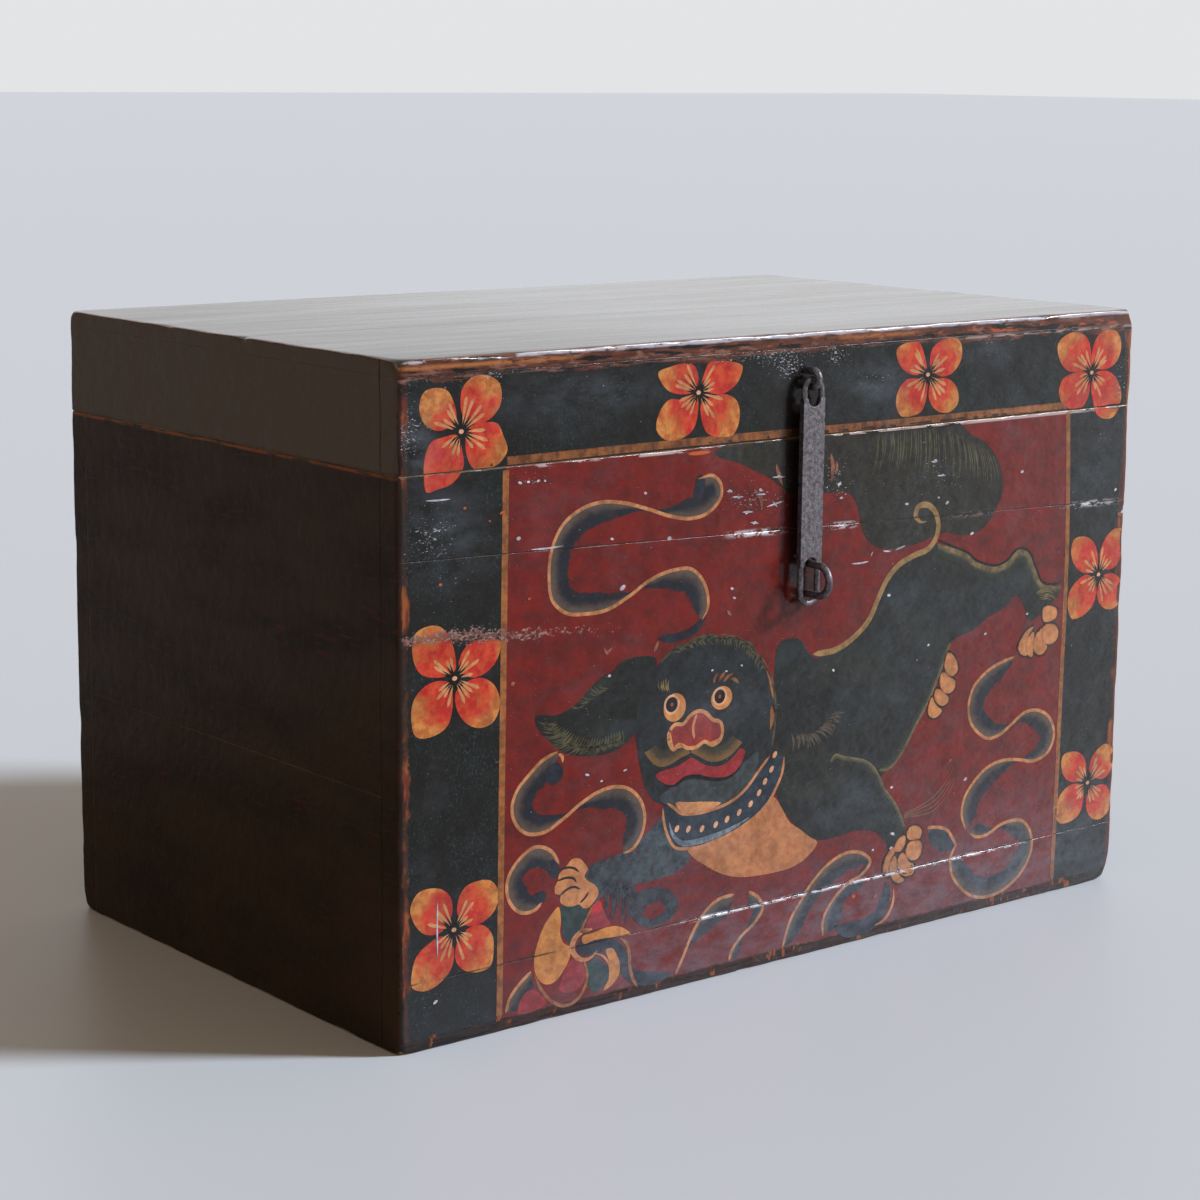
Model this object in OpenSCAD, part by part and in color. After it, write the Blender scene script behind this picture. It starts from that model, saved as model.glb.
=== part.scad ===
// Painted wooden trunk with a box lid, an iron hasp and two iron hinges.
// The origin is the middle of the underside, the front faces -Y and +Z is up.

/* [Trunk] */
// Width across the front
trunk_w = 608; // [440:1:900]
// Depth from the front boards to the back boards, without the ironwork
trunk_d = 370; // [260:1:600]
// Height with the lid closed
trunk_h = 400; // [300:1:600]
// Height of the lid
lid_h = 65; // [56:1:110]

/* [Boards] */
// Thickness of the front, back and side planks and of the lid's rails
board_t = 17; // [14:0.5:24]
// Thickness of the lid's top boards
lid_top_t = 10; // [9:0.5:16]
// Thickness of the bottom boards
bottom_t = 12; // [9:0.5:18]
// Height of the front's upper plank at its left end
front_top_h = 48; // [40:1:60]
// How far the front's upper joint falls from the left end to the right end
front_joint_fall = 18; // [0:1:24]
// Height of the front's lower plank
front_low_h = 41; // [30:1:80]
// Height of the back's lower plank
back_low_h = 172; // [120:1:200]
// Height of the lower planks of the two sides
side_low_h = 150; // [120:1:190]
// Depth of the lid's front top board
lid_front_board_d = 160; // [110:1:200]
// Depth of the front and the rear bottom board
bottom_board_d = 108; // [80:1:115]

/* [Dowels] */
// Radius of the dowels between planks and at the corners
dowel_r = 3.5; // [2.5:0.25:4.5]
// Length of a dowel between two planks
dowel_l = 30; // [20:1:40]
// Radius of the dowels between the lid's top boards
thin_dowel_r = 2.5; // [1.5:0.25:3.5]
// How far a corner dowel goes into the front or back plank
corner_dowel_in = 12; // [8:0.5:13]
// How far a corner or bottom dowel goes into the piece behind that plank
corner_dowel_out = 25; // [18:1:30]
// Radius of the dowels that hold the bottom boards
bottom_dowel_r = 3; // [2:0.25:4]
// How far a dowel from a rail goes up into a top board
top_dowel_up = 6; // [4:0.5:8]
// How far such a dowel goes down into the rail
top_dowel_down = 20; // [12:1:26]
// Radial clearance of a dowel or a nail in its hole
dowel_gap = 0.05; // [0.02:0.01:0.15]

/* [Hasp] */
// Place of the hasp across the front, from the middle
lock_x = 2; // [-40:1:40]
// Drop of the hasp's swing axis below the top of the lid
hasp_drop = 28.6; // [21:0.1:30]
// Overall length of the hasp
hasp_l = 144; // [125:1:180]
// Width of the hasp
hasp_w = 18; // [16:0.5:24]
// Thickness of the hasp
hasp_t = 4; // [3:0.25:5]
// Length of the hole in the hasp's upper end
eye_l = 15; // [14:0.5:30]
// Length of the slot in the hasp's lower end
slot_l = 27; // [27:0.5:34]
// Gap between the front and the hanging hasp
hasp_gap = 4; // [1:0.25:6]

/* [Staples] */
// Thickness of the iron that the two staples are bent from
wire_d = 5; // [3.5:0.25:5.5]
// Height of the lock staple over its outside
loop_h = 24; // [20:0.5:25]
// How far the lock staple stands out from the front
loop_reach = 27; // [20:0.5:35]
// Slack between the hasp's eye and the staple that carries it
link_slack = 0.4; // [0.3:0.05:0.6]
// Length of each clinched staple end on the inside
clinch_l = 11; // [6:0.5:16]
// Radial clearance of a staple leg in its hole
leg_gap = 0.1; // [0.05:0.01:0.2]

/* [Hinges] */
// Distance from a side of the trunk to the middle of its hinge
hinge_inset = 112; // [60:1:150]
// Width of a hinge
hinge_w = 30; // [24:1:40]
// Thickness of a hinge leaf
leaf_t = 2; // [1.5:0.25:2.5]
// Length of the leaf on the back planks, from the axis
body_leaf_l = 56; // [48:1:80]
// Length of the leaf on the lid, from the axis
lid_leaf_l = 44; // [42:1:45]
// Outer radius of a knuckle
knuckle_r = 4.2; // [3.8:0.1:5]
// Length of the lid leaf's middle knuckle
mid_knuckle_l = 13; // [9:0.5:16]
// Gap along the pin between two knuckles
knuckle_gap = 0.4; // [0.3:0.05:0.6]
// Gap between a knuckle and the wood
knuckle_seat = 0.3; // [0.3:0.05:0.6]
// Radius of a hinge pin
pin_r = 2; // [1.5:0.1:2.2]
// Radial clearance of a hinge pin
pin_fit = 0.05; // [0.02:0.01:0.1]
// Radius of the head at each end of a hinge pin
pin_head_r = 3.2; // [2.8:0.1:3.6]
// Thickness of that head
pin_head_t = 1.6; // [1:0.1:2.5]

/* [Nails] */
// Radius of a hinge nail's shank
nail_r = 1.4; // [1:0.1:1.6]
// Length of a hinge nail's shank
nail_l = 13; // [8:0.5:14]
// Radius of a hinge nail's head
nail_head_r = 3.4; // [2.5:0.1:4]
// Height of a hinge nail's head
nail_head_h = 1.4; // [1:0.1:2]
// Distance between two nails of a leaf
nail_pitch = 13; // [11:0.5:13]
// Distance from the axis to the leaf's nearest nail
nail_first = 12; // [10:0.5:13]

/* [Hidden] */
$fn = 48;

// Finishes
lacquer_red = "#5e2320";
lacquer_black = "#232622";
bare_wood = "#9a7650";
dowel_wood = "#b08a5c";
iron = "#4a4644";

// Levels and faces
seam_z = trunk_h - lid_h;
rail_top_z = trunk_h - lid_top_t;
half_w = trunk_w / 2;
half_d = trunk_d / 2;
inner_w = half_w - board_t;
inner_d = half_d - board_t;
wall_mid_x = half_w - board_t / 2;
wall_mid_y = half_d - board_t / 2;
rear_board_y = -half_d + lid_front_board_d;
cut = 1;

// Places of dowels along an edge
row_of_four = [for (i = [0:3]) (i - 1.5) * trunk_w / 4];
side_row = [-inner_d / 2, inner_d / 2];
front_top_low_h = seam_z - front_top_h - front_joint_fall;
corner_levels = [
    front_low_h / 2 + bottom_t / 2,
    front_low_h + (front_top_low_h - front_low_h) / 4,
    front_low_h + 3 * (front_top_low_h - front_low_h) / 4,
    seam_z - front_top_h / 2
];
rail_levels = [seam_z + (rail_top_z - seam_z) / 4, seam_z + 3 * (rail_top_z - seam_z) / 4];

// Hasp and staples
rim_r = hasp_t / 2;
rim_mid = hasp_w / 2 - rim_r;
hole_r = rim_mid - rim_r;
wire_r = wire_d / 2;
hasp_z = trunk_h - hasp_drop;
hasp_out = hasp_gap + rim_r;
slot_low = hasp_l - 3 * rim_r;
lock_z = hasp_z - slot_low + slot_l / 2;
hasp_loop_mid = rim_r + link_slack + wire_r;
lock_loop_mid = loop_h / 2 - wire_r;

// Hinges
axis_out = knuckle_r + knuckle_seat;
axis_y = half_d + axis_out;
outer_knuckle_l = (hinge_w - mid_knuckle_l) / 2 - knuckle_gap;
notch = knuckle_r + knuckle_gap;
hinge_places = [-half_w + hinge_inset, half_w - hinge_inset];

// Height of the front's upper joint at the place x across the front
function front_joint_z(x) = seam_z - front_top_h - front_joint_fall * (x + half_w) / trunk_w;

// Box from the lowest corner to the highest one
module block(low, high) {
    translate(low) cube(high - low);
}

// Upright dowel centred at p
module upright(p, r, down, up) {
    translate([p[0], p[1], p[2] - down]) cylinder(r = r, h = down + up);
}

// Level dowel from back to front, from the point p towards +Y
module along_y(p, r, l) {
    translate(p) rotate([-90, 0, 0]) cylinder(r = r, h = l);
}

// Level dowel from left to right, from the point p towards +X
module along_x(p, r, l) {
    translate(p) rotate([0, 90, 0]) cylinder(r = r, h = l);
}

// Dowels between the planks of the front
module front_dowel_set(gap) {
    for (x = row_of_four) {
        upright([x, -wall_mid_y, front_joint_z(x)], dowel_r + gap, dowel_l / 2 + gap, dowel_l / 2 + gap);
        upright([x, -wall_mid_y, front_low_h], dowel_r + gap, dowel_l / 2 + gap, dowel_l / 2 + gap);
    }
}

// Dowels between the planks of the back
module back_dowel_set(gap) {
    for (x = row_of_four)
        upright([x, wall_mid_y, back_low_h], dowel_r + gap, dowel_l / 2 + gap, dowel_l / 2 + gap);
}

// Dowels between the planks of the two sides
module side_dowel_set(gap) {
    for (x = [-wall_mid_x, wall_mid_x], y = side_row)
        upright([x, y, side_low_h], dowel_r + gap, dowel_l / 2 + gap, dowel_l / 2 + gap);
}

// Dowels from the front and the back into the ends of what stands between them
module corner_dowel_set(levels, gap) {
    for (x = [-wall_mid_x, wall_mid_x], z = levels) {
        along_y([x, -inner_d - corner_dowel_in - gap, z], dowel_r + gap,
                corner_dowel_in + corner_dowel_out + 2 * gap);
        along_y([x, inner_d - corner_dowel_out - gap, z], dowel_r + gap,
                corner_dowel_in + corner_dowel_out + 2 * gap);
    }
}

// Dowels from the walls into the edges of the bottom boards
module bottom_dowel_set(gap) {
    reach = corner_dowel_in + corner_dowel_out + 2 * gap;
    for (x = row_of_four) {
        along_y([x, -inner_d - corner_dowel_in - gap, bottom_t / 2], bottom_dowel_r + gap, reach);
        along_y([x, inner_d - corner_dowel_out - gap, bottom_t / 2], bottom_dowel_r + gap, reach);
    }
    for (y = [-inner_d + bottom_board_d / 2, 0, inner_d - bottom_board_d / 2]) {
        along_x([-inner_w - corner_dowel_in - gap, y, bottom_t / 2], bottom_dowel_r + gap, reach);
        along_x([inner_w - corner_dowel_out - gap, y, bottom_t / 2], bottom_dowel_r + gap, reach);
    }
}

// Dowels between the lid's two top boards
module lid_joint_dowel_set(gap) {
    for (x = row_of_four)
        along_y([x, rear_board_y - dowel_l / 2 - gap, trunk_h - lid_top_t / 2],
                thin_dowel_r + gap, dowel_l + 2 * gap);
}

// Dowels from the lid's rails up into its top boards
module lid_top_dowel_set(gap) {
    for (x = row_of_four, y = [-wall_mid_y, wall_mid_y])
        upright([x, y, rail_top_z], dowel_r + gap, top_dowel_down + gap, top_dowel_up + gap);
    for (x = [-wall_mid_x, wall_mid_x], y = side_row)
        upright([x, y, rail_top_z], dowel_r + gap, top_dowel_down + gap, top_dowel_up + gap);
}

// Bent iron staple: the arch stands out towards -Y and the clinched ends lie behind the board.
// The board's outer face is at y = 0.
module staple(mid_r, reach) {
    arch_y = -(reach - mid_r);
    translate([0, arch_y, 0]) rotate([0, 90, 0]) rotate([0, 0, 180])
        rotate_extrude(angle = 180) translate([mid_r, 0]) circle(r = wire_r);
    for (side = [-1, 1]) translate([0, 0, side * mid_r]) {
        along_y([0, arch_y, 0], wire_r, board_t + wire_r - arch_y);
        translate([0, board_t + wire_r, 0]) {
            sphere(r = wire_r);
            along_x([side > 0 ? -clinch_l : 0, 0, 0], wire_r, clinch_l);
        }
    }
}

// Holes for the legs of a staple, through a board whose outer face is at y = 0
module staple_holes(mid_r) {
    for (side = [-1, 1])
        along_y([0, -cut, side * mid_r], wire_r + leg_gap, board_t + 2 * cut);
}

module at_lock() {
    translate([lock_x, -half_d, lock_z]) children();
}

module at_hasp() {
    translate([lock_x, -half_d, hasp_z]) children();
}

// Places of a leaf's nails, as distances from the hinge axis
function nail_rows(count) = [for (i = [0:count - 1]) nail_first + i * nail_pitch];

// Nails of one leaf, driven towards -Y; way is 1 for the lid's leaf and -1 for the other
module nail_set(way, gap, heads) {
    leaf_face = half_d + leaf_t;
    head_ball = (nail_head_r * nail_head_r + nail_head_h * nail_head_h) / (2 * nail_head_h);
    for (x = hinge_places, d = nail_rows(3)) translate([x, leaf_face, seam_z + way * d]) {
        translate([0, gap, 0]) rotate([90, 0, 0]) cylinder(r = nail_r + gap, h = nail_l + 2 * gap);
        if (heads) intersection() {
            translate([0, nail_head_h - head_ball, 0]) sphere(r = head_ball);
            rotate([-90, 0, 0]) cylinder(r = nail_head_r + cut, h = nail_head_h + cut);
        }
    }
}

// Outline of a leaf: square at the axis and round at its end
module leaf_outline(l) {
    translate([-hinge_w / 2, 0]) square([hinge_w, l - hinge_w / 2]);
    translate([0, l - hinge_w / 2]) circle(r = hinge_w / 2);
}

// One hinge leaf with its knuckles, on the back face.
// The knuckles are given as [start, length] along X and way is 1 for the lid's leaf.
module leaf(x, way, l, knuckles) {
    translate([x, half_d, seam_z]) difference() {
        union() {
            difference() {
                translate([0, leaf_t, 0]) rotate([90, 0, 0]) linear_extrude(leaf_t)
                    mirror([0, way > 0 ? 0 : 1]) leaf_outline(l);
                if (way > 0) leaf_notches(outer_knuckles());
                else leaf_notches(middle_knuckle());
            }
            for (k = knuckles) along_x([k[0], axis_out, 0], knuckle_r, k[1]);
        }
        along_x([-hinge_w / 2 - cut, axis_out, 0], pin_r + pin_fit, hinge_w + 2 * cut);
        for (d = nail_rows(3))
            along_y([0, -cut, way * d], nail_r + dowel_gap, leaf_t + 2 * cut);
    }
}

// Room in a leaf for the other leaf's knuckles
module leaf_notches(knuckles) {
    for (k = knuckles)
        block([k[0] - knuckle_gap, -cut, -notch], [k[0] + k[1] + knuckle_gap, leaf_t + cut, notch]);
}

function middle_knuckle() = [[-mid_knuckle_l / 2, mid_knuckle_l]];
function outer_knuckles() = [
    [-hinge_w / 2, outer_knuckle_l],
    [hinge_w / 2 - outer_knuckle_l, outer_knuckle_l]
];

// Front planks, with the upper joint out of level
module front_plank(outline) {
    difference() {
        translate([0, -inner_d, 0]) rotate([90, 0, 0]) linear_extrude(board_t) polygon(outline);
        front_dowel_set(dowel_gap);
        corner_dowel_set(corner_levels, dowel_gap);
        bottom_dowel_set(dowel_gap);
        at_lock() staple_holes(lock_loop_mid);
    }
}

module front_top_plank() {
    color(lacquer_red) front_plank([
        [-half_w, front_joint_z(-half_w)], [half_w, front_joint_z(half_w)],
        [half_w, seam_z], [-half_w, seam_z]
    ]);
}

module front_middle_plank() {
    color(lacquer_red) front_plank([
        [-half_w, front_low_h], [half_w, front_low_h],
        [half_w, front_joint_z(half_w)], [-half_w, front_joint_z(-half_w)]
    ]);
}

module front_bottom_plank() {
    color(lacquer_red) front_plank([
        [-half_w, 0], [half_w, 0], [half_w, front_low_h], [-half_w, front_low_h]
    ]);
}

// Back planks
module back_plank(low_z, high_z) {
    difference() {
        block([-half_w, inner_d, low_z], [half_w, half_d, high_z]);
        back_dowel_set(dowel_gap);
        corner_dowel_set(corner_levels, dowel_gap);
        bottom_dowel_set(dowel_gap);
        nail_set(-1, dowel_gap, false);
    }
}

module back_top_plank() {
    color(lacquer_black) back_plank(back_low_h, seam_z);
}

module back_bottom_plank() {
    color(lacquer_black) back_plank(0, back_low_h);
}

// Side planks between the front and the back
module side_plank(x, low_z, high_z) {
    difference() {
        block([x, -inner_d, low_z], [x + board_t, inner_d, high_z]);
        side_dowel_set(dowel_gap);
        corner_dowel_set(corner_levels, dowel_gap);
        bottom_dowel_set(dowel_gap);
    }
}

module left_top_plank() {
    color(lacquer_black) side_plank(-half_w, side_low_h, seam_z);
}

module left_bottom_plank() {
    color(lacquer_black) side_plank(-half_w, 0, side_low_h);
}

module right_top_plank() {
    color(lacquer_black) side_plank(inner_w, side_low_h, seam_z);
}

module right_bottom_plank() {
    color(lacquer_black) side_plank(inner_w, 0, side_low_h);
}

// Bottom boards inside the four walls
module bottom_board(front_y, rear_y) {
    color(bare_wood) difference() {
        block([-inner_w, front_y, 0], [inner_w, rear_y, bottom_t]);
        bottom_dowel_set(dowel_gap);
    }
}

module bottom_front_board() {
    bottom_board(-inner_d, -inner_d + bottom_board_d);
}

module bottom_middle_board() {
    bottom_board(-inner_d + bottom_board_d, inner_d - bottom_board_d);
}

module bottom_rear_board() {
    bottom_board(inner_d - bottom_board_d, inner_d);
}

// Dowels of the carcass
module front_dowels() {
    color(dowel_wood) front_dowel_set(0);
}

module back_dowels() {
    color(dowel_wood) back_dowel_set(0);
}

module side_dowels() {
    color(dowel_wood) side_dowel_set(0);
}

module corner_dowels() {
    color(dowel_wood) corner_dowel_set(corner_levels, 0);
}

module bottom_dowels() {
    color(dowel_wood) bottom_dowel_set(0);
}

// Ironwork of the carcass
module lock_staple() {
    color(iron) at_lock() staple(lock_loop_mid, loop_reach - wire_r);
}

module left_body_leaf() {
    color(iron) leaf(hinge_places[0], -1, body_leaf_l, outer_knuckles());
}

module right_body_leaf() {
    color(iron) leaf(hinge_places[1], -1, body_leaf_l, outer_knuckles());
}

module hinge_pin(x) {
    color(iron) {
        along_x([x - hinge_w / 2 - pin_head_t, axis_y, seam_z], pin_r, hinge_w + 2 * pin_head_t);
        along_x([x - hinge_w / 2 - pin_head_t, axis_y, seam_z], pin_head_r, pin_head_t);
        along_x([x + hinge_w / 2, axis_y, seam_z], pin_head_r, pin_head_t);
    }
}

module left_hinge_pin() {
    hinge_pin(hinge_places[0]);
}

module right_hinge_pin() {
    hinge_pin(hinge_places[1]);
}

module body_hinge_nails() {
    color(iron) nail_set(-1, 0, true);
}

// Top boards of the lid
module top_board(front_y, rear_y) {
    color(lacquer_black) difference() {
        block([-half_w, front_y, rail_top_z], [half_w, rear_y, trunk_h]);
        lid_joint_dowel_set(dowel_gap);
        lid_top_dowel_set(dowel_gap);
    }
}

module lid_front_top_board() {
    top_board(-half_d, rear_board_y);
}

module lid_rear_top_board() {
    top_board(rear_board_y, half_d);
}

// Rails of the lid
module rail(low, high) {
    color(lacquer_black) difference() {
        block(concat(low, [seam_z]), concat(high, [rail_top_z]));
        lid_top_dowel_set(dowel_gap);
        corner_dowel_set(rail_levels, dowel_gap);
        at_hasp() staple_holes(hasp_loop_mid);
        nail_set(1, dowel_gap, false);
    }
}

module lid_front_rail() {
    rail([-half_w, -half_d], [half_w, -inner_d]);
}

module lid_back_rail() {
    rail([-half_w, inner_d], [half_w, half_d]);
}

module lid_left_rail() {
    rail([-half_w, -inner_d], [-inner_w, inner_d]);
}

module lid_right_rail() {
    rail([inner_w, -inner_d], [half_w, inner_d]);
}

// Dowels of the lid
module lid_joint_dowels() {
    color(dowel_wood) lid_joint_dowel_set(0);
}

module lid_top_dowels() {
    color(dowel_wood) lid_top_dowel_set(0);
}

module lid_corner_dowels() {
    color(dowel_wood) corner_dowel_set(rail_levels, 0);
}

// Ironwork of the lid
module hasp_staple() {
    color(iron) at_hasp() staple(hasp_loop_mid, hasp_out + hasp_loop_mid);
}

module left_lid_leaf() {
    color(iron) leaf(hinge_places[0], 1, lid_leaf_l, middle_knuckle());
}

module right_lid_leaf() {
    color(iron) leaf(hinge_places[1], 1, lid_leaf_l, middle_knuckle());
}

module lid_hinge_nails() {
    color(iron) nail_set(1, 0, true);
}

// Half ring of round iron at one end of the hasp, arched upwards
module hasp_bow() {
    rotate([90, 0, 0]) rotate_extrude(angle = 180) translate([rim_mid, 0]) circle(r = rim_r);
}

// Hasp: a flat bar between a drawn-out eye and a slotted end, hung by the eye's rim
module hasp() {
    bow_z = -rim_mid;
    foot_z = -(hasp_l - 2 * rim_r) + rim_mid;
    eye_end = -rim_r - eye_l;
    slot_top = -slot_low + slot_l;
    color(iron) translate([lock_x, -half_d - hasp_out, hasp_z]) {
        translate([0, 0, bow_z]) hasp_bow();
        translate([0, 0, foot_z]) mirror([0, 0, 1]) hasp_bow();
        for (side = [-rim_mid, rim_mid])
            translate([side, 0, foot_z]) cylinder(r = rim_r, h = bow_z - foot_z);
        difference() {
            block([-hasp_w / 2, -rim_r, slot_top - hole_r], [hasp_w / 2, rim_r, eye_end + hole_r]);
            along_y([0, -hasp_t, eye_end + hole_r], hole_r, 2 * hasp_t);
            along_y([0, -hasp_t, slot_top - hole_r], hole_r, 2 * hasp_t);
        }
    }
}

front_top_plank();
front_middle_plank();
front_bottom_plank();
back_top_plank();
back_bottom_plank();
left_top_plank();
left_bottom_plank();
right_top_plank();
right_bottom_plank();
bottom_front_board();
bottom_middle_board();
bottom_rear_board();
front_dowels();
back_dowels();
side_dowels();
corner_dowels();
bottom_dowels();
lock_staple();
left_body_leaf();
right_body_leaf();
left_hinge_pin();
right_hinge_pin();
body_hinge_nails();
lid_front_top_board();
lid_rear_top_board();
lid_front_rail();
lid_back_rail();
lid_left_rail();
lid_right_rail();
lid_joint_dowels();
lid_top_dowels();
lid_corner_dowels();
hasp_staple();
left_lid_leaf();
right_lid_leaf();
lid_hinge_nails();
hasp();
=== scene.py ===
import math
import random

import bpy
import numpy as np
from mathutils import Matrix, Vector, noise
from mathutils.geometry import delaunay_2d_cdt


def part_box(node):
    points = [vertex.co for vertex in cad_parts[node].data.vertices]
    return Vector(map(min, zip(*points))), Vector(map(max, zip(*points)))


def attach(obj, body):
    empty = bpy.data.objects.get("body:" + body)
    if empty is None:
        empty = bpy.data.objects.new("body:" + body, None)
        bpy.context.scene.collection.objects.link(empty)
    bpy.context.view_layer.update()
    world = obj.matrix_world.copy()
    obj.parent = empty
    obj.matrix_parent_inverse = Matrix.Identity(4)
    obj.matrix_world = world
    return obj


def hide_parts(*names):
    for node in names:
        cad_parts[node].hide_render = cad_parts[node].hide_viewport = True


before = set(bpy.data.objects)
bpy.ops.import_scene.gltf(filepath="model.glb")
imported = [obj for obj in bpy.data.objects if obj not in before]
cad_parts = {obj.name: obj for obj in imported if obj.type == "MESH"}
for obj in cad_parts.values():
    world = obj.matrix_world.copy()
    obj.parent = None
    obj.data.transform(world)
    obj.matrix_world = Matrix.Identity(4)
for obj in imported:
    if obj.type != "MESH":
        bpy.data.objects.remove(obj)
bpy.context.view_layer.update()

MM = 0.001


def box_mm(node):
    """Lowest and highest corner of a CAD node, in millimetres."""
    low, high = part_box(node)
    return np.array(low) / MM, np.array(high) / MM


# Faces and levels of the trunk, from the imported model
MIDDLE_LOW, MIDDLE_HIGH = box_mm("front_middle_plank")
HALF_W = MIDDLE_HIGH[0]
FRONT_Y = MIDDLE_LOW[1]
BACK_Y = box_mm("back_bottom_plank")[1][1]
LOW_JOINT_Z = MIDDLE_LOW[2]
JOINT_LEFT_Z = MIDDLE_HIGH[2]
JOINT_RIGHT_Z = box_mm("front_top_plank")[0][2]
SEAM_Z = box_mm("front_top_plank")[1][2]
RAIL_TOP_Z = box_mm("lid_front_rail")[1][2]
TOP_Z = box_mm("lid_front_top_board")[1][2]
LID_JOINT_Y = box_mm("lid_front_top_board")[1][1]
AWAY = 1000.0


def lower_joint(x):
    """Height of the front's lower plank joint, the same at every place x."""
    return LOW_JOINT_Z + 0 * x


def upper_joint(x):
    """Height of the front's upper plank joint at the place x."""
    return JOINT_LEFT_Z + (JOINT_RIGHT_Z - JOINT_LEFT_Z) * (x + HALF_W) / (2 * HALF_W)


# Meshes and pieces


def add_mesh(name, points, faces, materials, body, attributes=None):
    """Smooth-shaded mesh piece from points in millimetres, riding on a CAD body."""
    mesh = bpy.data.meshes.new(name)
    mesh.from_pydata((np.asarray(points, float) * MM).tolist(), [], faces)
    for material in materials:
        mesh.materials.append(material)
    for label, values in (attributes or {}).items():
        layer = mesh.attributes.new(label, "FLOAT", "POINT")
        layer.data.foreach_set("value", np.asarray(values, np.float32))
    mesh.polygons.foreach_set("use_smooth", [True] * len(mesh.polygons))
    mesh.update()
    piece = bpy.data.objects.new(name, mesh)
    bpy.context.scene.collection.objects.link(piece)
    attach(piece, body)
    return piece


def thicken(points, faces, thickness):
    """Points and faces of the closed solid that a sheet makes with its thickness behind it."""
    count = len(points)
    used = {(face[k - 1], face[k]) for face in faces for k in range(len(face))}
    rim = [(b, a, a + count, b + count) for a, b in used if (b, a) not in used]
    behind = [[k + count for k in face[::-1]] for face in faces]
    return np.vstack([points, points + [0, thickness, 0]]), faces + behind + rim


# Worn timber

ARRIS = 0.4
FRONT_ARRIS = 0.1
LID_ARRIS = 0.12
EDGE_LEAST = 1.5
EDGE_SPREAD = 2.6
SEAM_ROUND = 1.3
WAVE = 0.3
SIDE_WAVE_GAIN = 1.6
TOP_WAVE_GAIN = 1.8
WAVE_REACH = 5.0
TOP_WAVE_REACH = 4.0
WEAR_WIDE, WEAR_SMALL = 23, 5.5
SMALL_SPREAD = 0.9
CHIP_GAIN = 0.75
SEAM_UNEVEN = 1.3
LIP_STEP, LIP_FADE = 0.45, 9
CRACK_DEPTH, CRACK_REACH = 0.25, 0.45
EDGE_ZONE = 12.0
SEAM_ZONE = 8.0
BOARD_GRID = 5.0
FINE_ENDS = (0.0, 0.25, 0.7, 1.4, 2.4, 3.8, 6.0)
CHIPS = [
    ((-304, -185, 400), 9), ((-230, -185, 400), 4), ((-150, -185, 399), 3), ((60, -185, 400), 3.5),
    ((214, -185, 400), 3), ((304, -185, 397), 6), ((-304, -25, 400), 5), ((-304, 60, 400), 3.5),
    ((-304, -185, 338), 5), ((-304, -185, 240), 3), ((-304, -185, 2), 5), ((304, -185, 2), 9),
    ((304, -185, 262), 3), ((304, 185, 399), 6), ((-304, 185, 399), 5), ((120, 185, 400), 4),
    ((304, 40, 400), 4), ((-304, 185, 3), 6), ((304, 185, 3), 5), ((-40, -185, 1), 3),
]


def ripple(along, across):
    """Long shallow waves that a hand plane leaves along the grain, from 0 to 1."""
    return (0.5 + 0.16 * np.sin(along / 67 + 1.1 * np.sin(across / 29))
            + 0.2 * np.sin(across / 17 + 0.8 * np.sin(along / 83))
            + 0.14 * np.sin(across / 7.3 + 1.3 * np.sin(along / 51)))


def swell(x, centre, reach):
    """Smooth hump of height 1 round a centre."""
    return np.exp(-((x - centre) / reach) ** 2)


def low_joint_strength(x):
    """How far the lower joint stands open at the place x: from the middle almost to the right end."""
    return 0.06 + 0.75 / (1 + np.exp(-(x + 98) / 8)) / (1 + np.exp((x - 212) / 12))


def high_joint_strength(x):
    """How far the upper joint stands open at the place x: at three stretches."""
    return 0.04 + 0.8 * swell(x, -36, 32) + 0.45 * swell(x, 36, 16) + 0.3 * swell(x, 266, 36)


def lip(s):
    """Depth beside an open joint: a narrow crack, and the upper board stands back from the lower one."""
    rise = np.clip(s + 0.5, 0, 1)
    step = LIP_STEP * rise * rise * (3 - 2 * rise) * np.exp(-np.maximum(s, 0) / LIP_FADE)
    return step + CRACK_DEPTH * np.exp(-(s / CRACK_REACH) ** 2)


def skin_depth(x, z):
    """How far the painted front lies behind its CAD face at the place (x, z)."""
    depth = WAVE * ripple(x, z)
    depth = depth + np.where(z < SEAM_Z, lip(z - LOW_JOINT_Z) * low_joint_strength(x), 0)
    return depth + np.where(z < SEAM_Z, lip(z - upper_joint(x)) * high_joint_strength(x), 0)


def stations(low, high, step):
    """Grid lines from low to high: close together at both ends and about step apart between them."""
    ends = [e for e in FINE_ENDS if 2 * e < high - low - 0.5]
    middle = np.linspace(low + ends[-1], high - ends[-1], max(2, round((high - low) / step)))
    return np.array([low + e for e in ends[:-1]] + list(middle) + [high - e for e in ends[-2::-1]])


def lattice(xs, ys, zs):
    """Points, quads and sides of a closed box with the grid lines on its surface."""
    axes = (xs, ys, zs)
    index, points, quads, sides = {}, [], [], []

    def corner(*key):
        if key not in index:
            index[key] = len(points)
            points.append([axes[a][key[a]] for a in range(3)])
        return index[key]

    for axis in range(3):
        u, v = (axis + 1) % 3, (axis + 2) % 3
        for end in (0, 1):
            fixed = (len(axes[axis]) - 1) * end
            for i in range(len(axes[u]) - 1):
                for j in range(len(axes[v]) - 1):
                    ring = []
                    for a, b in ((i, j), (i + 1, j), (i + 1, j + 1), (i, j + 1)):
                        key = [0, 0, 0]
                        key[axis], key[u], key[v] = fixed, a, b
                        ring.append(corner(*key))
                    quads.append(ring if end else ring[::-1])
                    sides.append((axis, end))
    return np.array(points), quads, sides


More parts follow.
